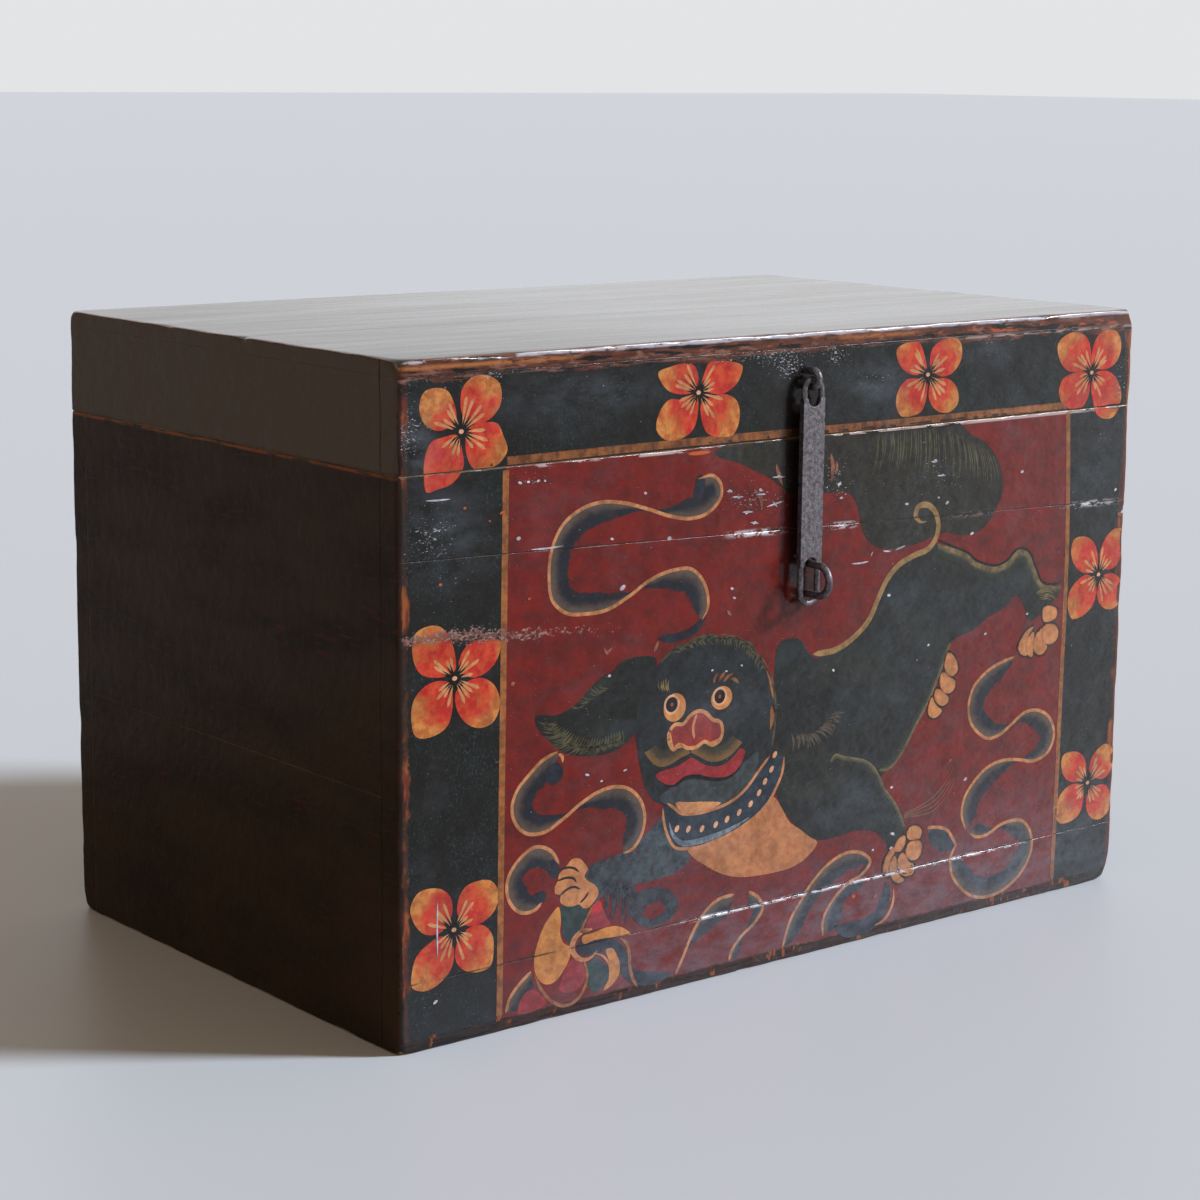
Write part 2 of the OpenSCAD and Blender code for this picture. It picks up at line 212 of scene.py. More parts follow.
def round_box(points, low, high, radius):
    """Moves points that lie outside a box's rounded edges onto them."""
    core = np.clip(points, low + radius[:, None], high - radius[:, None])
    out = points - core
    length = np.linalg.norm(out, axis=1)
    over = length > radius
    points[over] = core[over] + out[over] * (radius[over] / length[over])[:, None]
    return points


def worn_radius(points):
    """Radius of the trunk's outer edges at each point: uneven, and larger at the chips."""
    radius = np.full(len(points), EDGE_LEAST)
    x, y, z = points.T
    gaps = (HALF_W - np.abs(x), y - FRONT_Y, BACK_Y - y, TOP_Z - z, z)
    near = sum((gap < EDGE_ZONE).astype(int) for gap in gaps)
    for k in np.nonzero(near > 1)[0]:
        place = Vector(points[k])
        wide, small = noise.noise(place / WEAR_WIDE), noise.noise(place / WEAR_SMALL)
        radius[k] += EDGE_SPREAD * max(0, wide + 0.15) + SMALL_SPREAD * max(0, small)
    for centre, size in CHIPS:
        gap = np.linalg.norm(points - np.array(centre, float), axis=1)
        radius += CHIP_GAIN * size * np.exp(-(gap / size) ** 2)
    return radius


def seam_radius(points):
    """Radius of the edges along the lid's seam at each point."""
    radius = np.full(len(points), SEAM_ROUND)
    for k in np.nonzero(np.abs(points[:, 2] - SEAM_Z) < SEAM_ZONE)[0]:
        radius[k] *= 1 + SEAM_UNEVEN * max(-0.4, noise.noise(Vector(points[k]) / 8))
    return radius


def wear_outside(points, body):
    """Rounds and dents what lies on the outside of the trunk, then the edges along the lid's seam."""
    low = np.array([-HALF_W, FRONT_Y, 0 if body == "carcass" else -AWAY])
    high = np.array([HALF_W, BACK_Y, AWAY if body == "carcass" else TOP_Z])
    points = round_box(points, low, high, worn_radius(points))
    if body == "carcass":
        high[2] = SEAM_Z
    else:
        low[2] = SEAM_Z
    return round_box(points, low, high, seam_radius(points))


def dish(points):
    """Gives the outer faces their long waves, and the front the depth of its skin."""
    x, y, z = points.T.copy()
    front, back, side = (np.clip(1 - gap / WAVE_REACH, 0, 1)
                         for gap in (y - FRONT_Y, BACK_Y - y, HALF_W - np.abs(x)))
    top = np.clip(1 - (TOP_Z - z) / TOP_WAVE_REACH, 0, 1)
    points[:, 1] += front * skin_depth(x, z) - back * WAVE * ripple(x, z + 40)
    points[:, 0] -= np.sign(x) * side * SIDE_WAVE_GAIN * WAVE * ripple(y, z + 90)
    points[:, 2] -= top * TOP_WAVE_GAIN * WAVE * ripple(x, y)
    return points


def slant(node, points, low, high):
    """Gives the two upper front planks their joint that is out of level."""
    share = (points[:, 2] - low[2]) / (high[2] - low[2])
    joint = upper_joint(points[:, 0])
    if node == "front_top_plank":
        points[:, 2] = joint + share * (SEAM_Z - joint)
    if node == "front_middle_plank":
        points[:, 2] = LOW_JOINT_Z + share * (joint - LOW_JOINT_Z)
    return points


# Patches on the front: where grit with painted glints clusters, where a painted reflection haze lies on the
# gloss, and where grime with painted shade darkens the paint beside the hasp and round its staples: middle x
# and z, reach along x and z, strength
MARKS = {
    "glint": [
        (-299, 362, 7, 26, 1.0), (-288, 358, 11, 14, 0.6), (-266, 389, 34, 2.5, 1.0), (-236, 381, 6, 6, 0.6),
        (-185, 378, 50, 9, 0.35), (-62, 387, 16, 4, 0.9), (-12, 378, 14, 8, 1.3), (-32, 385, 12, 6, 0.7),
        (26, 382, 9, 9, 1.0), (62, 366, 18, 11, 0.6), (165, 380, 16, 7, 0.7), (293, 352, 9, 20, 0.9),
        (270, 388, 22, 4, 0.5), (-282, 300, 16, 16, 0.9), (-208, 326, 16, 5, 0.8), (-38, 300, 30, 10, 0.8),
        (30, 305, 10, 14, 0.8), (80, 256, 20, 5, 0.5), (125, 300, 30, 16, 0.45), (275, 316, 22, 8, 0.5),
        (-240, 241, 26, 4, 0.7), (-285, 32, 12, 8, 0.5), (-150, 391, 190, 4, 0.5), (0, 390, 60, 6, 0.6),
        (140, 391, 60, 4, 0.4), (268, 269, 40, 3, 0.9), (-194, 286, 20, 2, 0.5), (150, 271, 40, 3, 0.6),
        (60, 300, 60, 12, 0.25), (-260, 270, 30, 40, 0.25)],
    # Painted reflection haze: pale patches where the gloss would mirror the floor and the room, strongest
    # along the base
    "reflection_haze": [
        (62, 366, 22, 13, 0.8), (-180, 373, 60, 12, 0.5), (-290, 352, 14, 20, 0.8), (165, 378, 22, 9, 0.5),
        (-270, 300, 26, 32, 0.5), (-110, 90, 50, 26, 0.5), (-64, 172, 42, 13, 0.5), (60, 95, 60, 20, 0.35),
        (190, 25, 120, 40, 0.9), (0, 22, 120, 26, 0.9), (-130, 20, 60, 26, 0.7), (100, 180, 60, 60, 0.2),
        (-14, 378, 14, 9, 0.6), (270, 300, 30, 40, 0.3)],
    # Grime with painted shade: the dark band beside the hasp stands in for its cast shadow, the patches at
    # the staples for the shade inside their loops
    "grime_and_shade": [
        (-7, 340, 8, 60, 0.95), (-6, 270, 8, 46, 0.8), (9, 244, 14, 17, 1.0), (10, 362, 11, 13, 1.0),
        (-22, 232, 12, 10, 0.3)],
}


def marks(points):
    """Strength of each kind of mark at places on the front, fading out behind it."""
    x, y, z = points.T
    front = np.clip(1 - (y - FRONT_Y) / WAVE_REACH, 0, 1)
    found = {}
    for label, patches in MARKS.items():
        total = sum(much * np.exp(-((x - at_x) / wide) ** 2 - ((z - at_z) / high) ** 2)
                    for at_x, at_z, wide, high, much in patches)
        found[label] = front * np.minimum(total, 1.3)
    return found


def finish_of(side, low, high):
    """Which of a board's materials a side of it takes: 0 bare, 1 side, 2 front, 3 top."""
    axis, end = side
    place = (high if end else low)[axis]
    outer = {(0, 0): -HALF_W, (0, 1): HALF_W, (1, 0): FRONT_Y, (1, 1): BACK_Y, (2, 1): TOP_Z}
    if side not in outer or abs(place - outer[side]) > 0.01:
        return 0
    return {(1, 0): 2, (2, 1): 3}.get(side, 1)


def board(node, body, materials, arris=ARRIS):
    """Worn plank, board or rail in place of its plain CAD node."""
    low, high = box_mm(node)
    lines = [stations(low[a], high[a], BOARD_GRID) for a in range(3)]
    points, quads, sides = lattice(*lines)
    points = round_box(points, low, high, np.full(len(points), arris))
    points = slant(node, points, low, high)
    points = dish(wear_outside(points, body))
    piece = add_mesh(f"{node}_worn", points, quads, materials, body, marks(points))
    finish = {side: finish_of(side, low, high) for side in set(sides)}
    piece.data.polygons.foreach_set("material_index", [finish[side] for side in sides])
    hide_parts(node)


# Materials


def tint(code):
    """Linear colour of a six-digit sRGB code."""
    parts = [int(code[k:k + 2], 16) / 255 for k in (1, 3, 5)]
    return tuple(p / 12.92 if p < 0.04045 else ((p + 0.055) / 1.055) ** 2.4 for p in parts) + (1.0,)


class Shader:
    """Node tree of one material. Its place is the point in millimetres in the trunk's frame."""

    def __init__(self, name):
        self.material = bpy.data.materials.new(name)
        self.material.use_nodes = True
        self.tree = self.material.node_tree
        self.bsdf = self.tree.nodes["Principled BSDF"]
        coordinates = self.tree.nodes.new("ShaderNodeTexCoord").outputs["Object"]
        self.place = self.vector("SCALE", coordinates, scale=1 / MM)
        split = self.tree.nodes.new("ShaderNodeSeparateXYZ")
        self.tree.links.new(self.place, split.inputs[0])
        self.x, self.y, self.z = split.outputs

    def put(self, socket, value):
        """Links a socket to another, or sets it to a number or to a colour given by its code."""
        if isinstance(value, bpy.types.NodeSocket):
            self.tree.links.new(value, socket)
        else:
            socket.default_value = tint(value) if isinstance(value, str) else value

    def vector(self, operation, first, second=None, scale=None):
        node = self.tree.nodes.new("ShaderNodeVectorMath")
        node.operation = operation
        self.put(node.inputs[0], first)
        if second is not None:
            self.put(node.inputs[1], second)
        if scale is not None:
            node.inputs["Scale"].default_value = scale
        return node.outputs[0]

    def math(self, operation, first, second=0.0):
        node = self.tree.nodes.new("ShaderNodeMath")
        node.operation = operation
        self.put(node.inputs[0], first)
        self.put(node.inputs[1], second)
        return node.outputs[0]

    def chain(self, operation, values):
        total = values[0]
        for value in values[1:]:
            total = self.math(operation, total, value)
        return total

    def add(self, *values):
        return self.chain("ADD", values)

    def times(self, *values):
        return self.chain("MULTIPLY", values)

    def least(self, *values):
        return self.chain("MINIMUM", values)

    def minus(self, first, second):
        return self.math("SUBTRACT", first, second)

    def size(self, value):
        return self.math("ABSOLUTE", value)

    def rise(self, value, start, end, low=0.0, high=1.0):
        """Value taken smoothly from low to high as it goes from start to end."""
        node = self.tree.nodes.new("ShaderNodeMapRange")
        node.interpolation_type = "SMOOTHSTEP"
        self.put(node.inputs["Value"], value)
        for label, number in (("From Min", start), ("From Max", end), ("To Min", low), ("To Max", high)):
            self.put(node.inputs[label], number)
        return node.outputs["Result"]

    def near(self, value, centre, reach):
        """1 at the centre, falling smoothly to 0 at reach from it."""
        return self.rise(self.size(self.minus(value, centre)), 0.0, reach, 1.0, 0.0)

    def mix(self, share, first, second):
        """Colour that goes from the first to the second as share goes from 0 to 1."""
        node = self.tree.nodes.new("ShaderNodeMix")
        node.data_type = "RGBA"
        self.put(node.inputs["Factor"], share)
        self.put(node.inputs["A"], first)
        self.put(node.inputs["B"], second)
        return [s for s in node.outputs if s.type == "RGBA"][0]

    def cover(self, colour, paint, *shares):
        """Colour with a paint over it, as much as the product of the shares."""
        return self.mix(self.times(*shares), colour, paint)

    def spread(self, size, stretch, shift):
        """Place counted in blotches of that size, moved to another part of the pattern by shift."""
        node = self.tree.nodes.new("ShaderNodeMapping")
        self.put(node.inputs["Vector"], self.place)
        node.inputs["Scale"].default_value = [1 / (size * s) for s in stretch]
        node.inputs["Location"].default_value = (shift * 3.7, shift * 5.3, shift * 7.9)
        return node.outputs[0]

    def noise(self, size, stretch=(1, 1, 1), detail=3.0, rough=0.55, shift=0.0):
        """Cloudy noise from 0 to 1 whose blotches are about size millimetres wide, times stretch."""
        node = self.tree.nodes.new("ShaderNodeTexNoise")
        self.put(node.inputs["Vector"], self.spread(size, stretch, shift))
        node.inputs["Scale"].default_value = 1.0
        node.inputs["Detail"].default_value = detail
        node.inputs["Roughness"].default_value = rough
        return node.outputs["Fac"]

    def patches(self, low, high, size, **looks):
        """Soft-edged patches where the cloudy noise is over a level between low and high."""
        return self.rise(self.noise(size, **looks), low, high)

    def cells(self, size, shift=0.0):
        """Distance, in cells, to the nearest point of cells about size millimetres wide."""
        node = self.tree.nodes.new("ShaderNodeTexVoronoi")
        self.put(node.inputs["Vector"], self.spread(size, (1, 1, 1), shift))
        node.inputs["Scale"].default_value = 1.0
        return node.outputs["Distance"]

    def value(self, label):
        """Number that the mesh holds at each point."""
        node = self.tree.nodes.new("ShaderNodeAttribute")
        node.attribute_name = label
        return node.outputs["Fac"]

    def relief(self, height, depth, before=None):
        """Bump whose height of 1 stands depth millimetres high."""
        node = self.tree.nodes.new("ShaderNodeBump")
        node.inputs["Strength"].default_value = 1.0
        node.inputs["Distance"].default_value = depth * MM
        self.put(node.inputs["Height"], height)
        if before is not None:
            self.put(node.inputs["Normal"], before)
        return node.outputs["Normal"]

    def finish(self, colour, roughness, normal, **constants):
        """Links the surface's colour, roughness and relief, sets the rest, and returns the material."""
        self.put(self.bsdf.inputs["Base Color"], colour)
        self.put(self.bsdf.inputs["Roughness"], roughness)
        self.put(self.bsdf.inputs["Normal"], normal)
        self.put(self.bsdf.inputs["Coat Normal"], normal)
        for label, number in constants.items():
            self.put(self.bsdf.inputs[label.replace("_", " ")], number)
        return self.material


RED_DEEP = "#6d170f"
RED_DULL = "#5c1a16"
BLACK_GREEN = "#121412"
BLACK_WARM = "#16130f"
UNDERCOAT = "#5e2a1c"
RAW_EDGE = "#8a4a24"
OLD_DIRT = "#140d09"
PALE_SCUFF = "#8d7773"
# Pale colour of painted glints
GLINT = "#c9c6cc"
# Pale bluish grey of wax bloom and of painted reflection haze
BLOOM_AND_REFLECTION = "#7d8592"
# Pale colour of the painted highlight on the lid's arris
ARRIS_HIGHLIGHT = "#b3b1ba"

SCRAPE_Z = 221.0
SCRAPE_SLOPE = -0.075
END_CRACK_Y = FRONT_Y + 19.5


def pimples(s):
    """Grit under the lacquer: short raised dashes and dots, thick in patches, that also carry the painted
    glints.
    """
    dashes = s.noise(1.0, stretch=(2.2, 1, 1), detail=3.0, rough=0.65, shift=2.0)
    return s.rise(s.add(dashes, s.times(s.value("glint"), 0.15)), 0.7, 0.77)


def lacquer_relief(s, grit_and_glint):
    """Bump of old brushed lacquer: grit, brush strokes, sags and dents."""
    fine = s.noise(0.9, stretch=(1.4, 1, 1), detail=2.0)
    strokes = s.noise(3.2, stretch=(2.2, 1, 1), detail=4.0, rough=0.6, shift=4.0)
    lower = s.rise(s.z, 260, 60, 0.35, 1.0)
    height = s.add(s.times(fine, 0.25), s.times(strokes, lower, 1.6), s.times(grit_and_glint, 3.0))
    sags = s.noise(11, stretch=(1.6, 1, 1), detail=2.0, shift=6.0)
    return s.relief(sags, 0.5, s.relief(height, 0.12))


def spots(s, size, limit, shift):
    """Small round spots, one in some of the cells."""
    some = s.rise(s.noise(size * 2.5, detail=1.0, shift=shift + 4), 0.52, 0.6)
    return s.times(s.rise(s.cells(size, shift=shift), limit, limit * 0.6), some)


def aged(s, colour, grit_and_glint):
    """Colour with mottled grime, paint losses, pale bloom partly painted as sheen, a painted reflection of
    the floor that grows towards the base, grime with painted shade by the hasp, and pale rubbed grit painted
    as glints.
    """
    grime_and_shade = s.patches(0.35, 0.7, 14, detail=5.0, shift=5.0)
    colour = s.cover(colour, OLD_DIRT, grime_and_shade, 0.3)
    # Pale bloom: partly wax bloom, partly painted sheen
    bloom_and_sheen = s.times(s.patches(0.5, 0.72, 26, stretch=(1.5, 1, 1), detail=6.0, rough=0.65, shift=45.0), 0.05)
    colour = s.cover(colour, BLOOM_AND_REFLECTION, bloom_and_sheen)
    # Painted reflection haze in the patches the mesh marks for it
    reflection_smear = s.patches(0.3, 0.7, 9, stretch=(2.2, 1, 1), detail=5.0, rough=0.65, shift=51.0)
    colour = s.cover(colour, BLOOM_AND_REFLECTION, s.value("reflection_haze"), reflection_smear, 0.3)
    # Painted reflection of the floor: paler and bluer towards the base
    colour = s.cover(colour, BLOOM_AND_REFLECTION, s.rise(s.z, 130, 0, 0.0, 0.07))
    loss = s.times(s.patches(0.62, 0.68, 3.2, detail=6.0, rough=0.7, shift=6.0),
                   s.patches(0.45, 0.6, 45, detail=2.0, shift=7.0))
    colour = s.cover(colour, OLD_DIRT, loss, 0.7)
    colour = s.cover(colour, PALE_SCUFF, spots(s, 15, 0.05, 8.0), 0.8)
    # Grime with painted shade beside the hasp and round its staples
    colour = s.cover(colour, OLD_DIRT, s.value("grime_and_shade"), 0.9)
    # Painted glints: pale specks on the raised grit
    return s.cover(colour, GLINT, grit_and_glint, 0.6)


def front_wear(s, colour):
    """Worn edges, base and seam of the painted front, with a painted highlight along the carcass's arris
    under the seam.
    """
    ragged = s.noise(5.0, stretch=(1, 1, 2.2), detail=5.0, rough=0.65, shift=9.0)
    broad = s.noise(30, detail=3.0, shift=10.0)
    side_gap = s.minus(HALF_W, s.size(s.x))
    raw = s.mix(s.patches(0.42, 0.6, 7, stretch=(0.6, 1, 3), detail=4.0, shift=11.0), UNDERCOAT, RAW_EDGE)
    patches = s.rise(broad, 0.46, 0.6, 0.12, 0.9)
    reach = s.add(s.times(ragged, 8.0), s.times(broad, 6.0), 0.5)
    line = s.times(s.rise(s.minus(reach, side_gap), 0, 1.2), patches)
    colour = s.cover(colour, raw, line)
    outer = s.rise(s.minus(s.add(s.times(ragged, 5.0), 0.8), side_gap), -0.4, 0.8)
    rim = s.mix(s.rise(s.x, 296, 300), "#1d130d", s.mix(s.rise(s.z, 300, 330), UNDERCOAT, RAW_EDGE))
    colour = s.cover(colour, rim, outer, 0.9)
    base = s.rise(s.minus(s.add(s.times(ragged, 4.0), s.times(broad, 2.0), 5.0), s.z), -0.6, 1.0)
    lines = s.patches(0.46, 0.6, 2.5, stretch=(8, 1, 0.6), detail=4.0, rough=0.65, shift=12.0)
    dusty = s.mix(lines, "#2e2624", "#16100d")
    bits = s.times(s.rise(ragged, 0.56, 0.62), s.rise(broad, 0.5, 0.56))
    colour = s.cover(colour, s.mix(bits, dusty, RAW_EDGE), base, 0.9)
    lip_gap = s.size(s.minus(s.z, SEAM_Z - 1.4))
    dashes = s.rise(s.noise(7, stretch=(4, 1, 1), detail=4.0, rough=0.6, shift=53.0),
                    s.rise(s.x, -120, 0, 0.52, 0.36), s.rise(s.x, -120, 0, 0.58, 0.5))
    # Painted highlight: broken pale dashes along the rounded arris just under the seam
    light = s.times(s.rise(lip_gap, 1.4, 0.5), dashes, s.rise(s.z, SEAM_Z, SEAM_Z - 0.4))
    colour = s.cover(colour, "#b7a5a2", light, 0.75)
    ember = s.times(s.near(s.x, -84, 14), s.near(s.z, SEAM_Z - 3.4, 2.0))
    colour = s.cover(colour, "#b0532a", s.rise(ember, 0.2, 0.5))
    dark = s.times(s.near(s.z, SEAM_Z, 0.9), 0.85)
    return s.cover(colour, OLD_DIRT, dark)


def scrape(s, colour):
    """Rough pale band of scratches across the left end of the front."""
    line = s.minus(s.z, s.add(s.times(s.x, SCRAPE_SLOPE), SCRAPE_Z))
    wander = s.add(line, s.times(s.noise(16, stretch=(2, 1, 1), detail=2.0, shift=46.0), 9.0), -4.5)
    speckle = s.noise(1.5, stretch=(1.6, 1, 1), detail=3.0, rough=0.7, shift=13.0)
    band = s.times(s.near(wander, 0.0, 6.5), s.rise(s.x, -135, -240, 0.35, 1.0), s.rise(s.x, -135, -150))
    rough = s.rise(s.add(s.times(band, 0.3), speckle), 0.7, 0.78)
    grey = s.mix(s.rise(speckle, 0.54, 0.62), "#6d4c44", "#93726a")
    dark = s.times(s.near(wander, -1.5, 4.0), s.rise(s.x, -200, -240), 0.5)
    return s.mix(rough, s.mix(dark, colour, "#3a2a28"), grey)


def joint_marks(s, colour):
    """Dark cracks along the front's two plank joints, and chafed paint whose pale dashes are partly painted
    glints.
    """
    slope = (JOINT_RIGHT_Z - JOINT_LEFT_Z) / (2 * HALF_W)
    high = s.minus(s.z, s.add(s.times(s.x, slope), JOINT_LEFT_Z + slope * HALF_W))
    low = s.minus(s.z, LOW_JOINT_Z)
    broken = s.patches(0.38, 0.55, 8, stretch=(3, 1, 1), detail=3.0, shift=14.0)
    chips = s.noise(2.2, stretch=(2.5, 1, 1), detail=4.0, rough=0.65, shift=15.0)
    high_bright = s.add(s.near(s.x, -38, 40), s.near(s.x, 36, 22), s.times(s.near(s.x, 270, 50), 0.7),
                        s.times(s.near(s.x, 150, 45), 0.35))
    low_bright = s.times(s.rise(s.x, -110, -70), s.rise(s.x, 240, 190))
    for gap, bright, reach in ((high, high_bright, 3.2), (low, low_bright, 1.9)):
        # Chafed paint with painted glints, brightest where the joints stand open
        chafe_and_glint = s.times(s.near(gap, -0.4, reach), s.rise(s.add(chips, s.times(bright, 0.07)), 0.52, 0.6),
                        s.rise(bright, 0.0, 0.8, 0.05, 1.0))
        colour = s.cover(colour, s.mix(s.rise(bright, 0.2, 0.8), PALE_SCUFF, GLINT), chafe_and_glint)
        colour = s.cover(colour, OLD_DIRT, s.near(gap, 0.3, 0.9), broken, 0.85)
    return colour


def lacquer(s, colour, grit_and_glint, **constants):
    """Old lacquer over a colour, whose gloss grows towards the right and the base."""
    roughness = s.rise(s.noise(25, detail=3.0, shift=16.0), 0.3, 0.75, 0.24, 0.42)
    settings = {"Coat_Roughness": 0.12, "Specular_IOR_Level": 0.1, **constants}
    if "Coat_Weight" not in settings:
        settings["Coat_Weight"] = s.rise(s.minus(s.x, s.z), -450, 250, 0.17, 0.29)
    return s.finish(colour, roughness, lacquer_relief(s, grit_and_glint), **settings)


FIELD_LEFT_X = -232.5
FIELD_LEFT_SLOPE = 3.5 / 328
FIELD_RIGHT_X = 246.0
FIELD_RIGHT_SLOPE = -0.05
FIELD_RIGHT_BASE_X = FIELD_RIGHT_X + 12.75


def ground_paint(s):
    """Greenish black ground of the borders and the lid, with fine bluish specks of painted sheen."""
    # Painted sheen: fine bluish grey specks, thicker in broad patches
    sheen_specks = s.noise(1.5, stretch=(1, 1, 1.4), detail=4.0, rough=0.7, shift=17.0)
    broad = s.patches(0.38, 0.66, 24, detail=3.0, shift=47.0)
    dark = s.mix(broad, BLACK_WARM, BLACK_GREEN)
    return s.mix(s.times(s.rise(sheen_specks, 0.5, 0.7), s.rise(broad, 0, 1, 0.2, 1.0), 0.7), dark, "#3b4341")


def front_paint():
    """Paint of the carcass's front: a deep red field between two black borders."""
    s = Shader("front_paint")
    streaks = s.noise(6, stretch=(2.4, 1, 1), detail=5.0, shift=18.0)
    red = s.mix(s.rise(streaks, 0.35, 0.7), RED_DEEP, RED_DULL)
    left = s.add(s.times(s.z, FIELD_LEFT_SLOPE), FIELD_LEFT_X)
    right = s.least(FIELD_RIGHT_X, s.add(s.times(s.z, FIELD_RIGHT_SLOPE), FIELD_RIGHT_BASE_X))
    field = s.times(s.rise(s.minus(s.x, left), -0.3, 0.3),
                    s.rise(s.minus(right, s.x), -0.3, 0.3))
    grit_and_glint = pimples(s)
    colour = aged(s, s.mix(field, ground_paint(s), red), grit_and_glint)
    return lacquer(s, front_wear(s, scrape(s, joint_marks(s, colour))), grit_and_glint)


def lid_paint():
    """Paint of the lid's front: a black ground with a worn brown upper edge whose arris catches the light and
    carries a painted highlight, and a painted glint line below it at the right.
    """
    s = Shader("lid_paint")
    grit_and_glint = pimples(s)
    colour = front_wear(s, aged(s, ground_paint(s), grit_and_glint))
    top_gap = s.minus(TOP_Z, s.z)
    ragged = s.noise(6, stretch=(3, 1, 1), detail=5.0, rough=0.65, shift=19.0)
    broad = s.noise(50, detail=2.0, shift=20.0)
    fine = s.noise(2.2, stretch=(5, 1, 1), detail=5.0, rough=0.7, shift=21.0)
    reach = s.add(s.times(ragged, 14.0), s.times(broad, 14.0), -1.5)
    worn = s.mix(s.rise(fine, 0.42, 0.6), "#4a2519", "#5f3526")
    worn = s.mix(s.patches(0.54, 0.64, 4.5, stretch=(3, 1, 1), detail=5.0, shift=48.0), worn, "#7c5344")
    worn = s.mix(s.times(s.rise(fine, 0.58, 0.66), s.rise(ragged, 0.45, 0.6)), worn, RAW_EDGE)
    worn = s.mix(s.patches(0.54, 0.6, 5, stretch=(5, 1, 0.6), detail=4.0, shift=22.0), worn, OLD_DIRT)
    colour = s.cover(colour, worn, s.rise(s.minus(reach, top_gap), -0.8, 1.0), 0.92)
    embers = s.times(s.near(top_gap, 7.5, 3.5), s.rise(s.x, 90, 150), s.rise(ragged, 0.52, 0.58))
    colour = s.cover(colour, "#a04a24", embers)
    stretches = s.add(s.rise(s.x, -170, -200), s.near(s.x, 60, 60))
    streak = s.times(s.near(top_gap, 5.4, 2.2), s.rise(fine, 0.36, 0.5), stretches)
    colour = s.cover(colour, "#a5663a", streak, 0.8)
    crack = s.times(s.near(s.z, RAIL_TOP_Z, 1.0), s.patches(0.42, 0.55, 12, stretch=(4, 1, 1), shift=23.0))
    colour = s.cover(colour, OLD_DIRT, crack)
    # Painted glint: a pale broken line about 11 mm below the top, towards the right
    pale = s.times(s.near(top_gap, 11.4, 1.4), s.rise(fine, 0.44, 0.56), s.rise(s.x, 110, 160, 0.15, 0.8))
    colour = s.cover(colour, "#a59390", pale)
    # Painted highlight along the arris, more broken towards the left end
    lowest, highest = s.rise(s.x, -260, -200, 0.5, 0.34), s.rise(s.x, -260, -200, 0.58, 0.46)
    broken = s.patches(lowest, highest, 5, stretch=(3, 1, 1), detail=4.0, rough=0.65, shift=49.0)
    arris = s.times(s.rise(s.add(top_gap, s.times(ragged, 3.0)), 5.2, 3.6), broken)
    return lacquer(s, s.mix(s.times(arris, 0.85), colour, ARRIS_HIGHLIGHT), grit_and_glint)


def side_lacquer():
    """Dark brown lacquer of the sides and the back, with faint reddish streaks along the grain, lighter and
    greyer on the lid as a painted reflection.
    """
    s = Shader("side_lacquer")
    grain = s.noise(2.6, stretch=(9, 9, 1), detail=5.0, rough=0.6, shift=24.0)
    broad = s.noise(30, stretch=(3, 3, 1), detail=3.0, shift=25.0)
    dark = s.mix(s.rise(broad, 0.35, 0.7), "#352619", "#271c12")
    # Painted reflection: the lid's sides lighter and greyer than the carcass's
    dark = s.mix(s.rise(s.z, SEAM_Z - 3, SEAM_Z + 3), dark, "#4f4338")
    glow = s.times(s.rise(grain, 0.54, 0.7), s.rise(broad, 0.42, 0.68))
    colour = s.mix(s.times(glow, 0.45), dark, "#5e2a14")
    y_gap = s.least(s.minus(s.y, FRONT_Y), s.minus(BACK_Y, s.y))
    waver = s.times(s.noise(14, stretch=(1, 1, 2), detail=4.0, shift=54.0), 5.0)
    crack = s.times(s.near(s.add(s.y, waver), END_CRACK_Y, 0.9),
                    s.rise(s.size(s.x), HALF_W - 2, HALF_W - 1))
    colour = s.cover(colour, OLD_DIRT, crack, s.rise(broad, 0.3, 0.5, 0.5, 1.0))
    lip_line = s.times(s.near(s.z, SEAM_Z - 1.2, 1.6), s.rise(grain, 0.4, 0.55))
    colour = s.cover(colour, RAW_EDGE, lip_line, 0.8)
    ragged = s.noise(5.0, detail=5.0, rough=0.65, shift=9.0)
    x_gap = s.minus(HALF_W, s.size(s.x))
    top_gap = s.minus(TOP_Z, s.z)
    seam_gap = s.size(s.minus(s.z, SEAM_Z))
    gap = s.least(s.math("MAXIMUM", x_gap, y_gap), top_gap, s.add(seam_gap, 1.5))
    worn = s.rise(s.minus(s.add(s.times(ragged, 7.0), -2.2), gap), -0.6, 1.2)
    colour = s.cover(colour, s.mix(s.rise(ragged, 0.5, 0.7), UNDERCOAT, OLD_DIRT), worn, 0.8)
    return lacquer(s, colour, s.times(pimples(s), 0.3), Coat_Weight=0.012, Specular_IOR_Level=0.03)


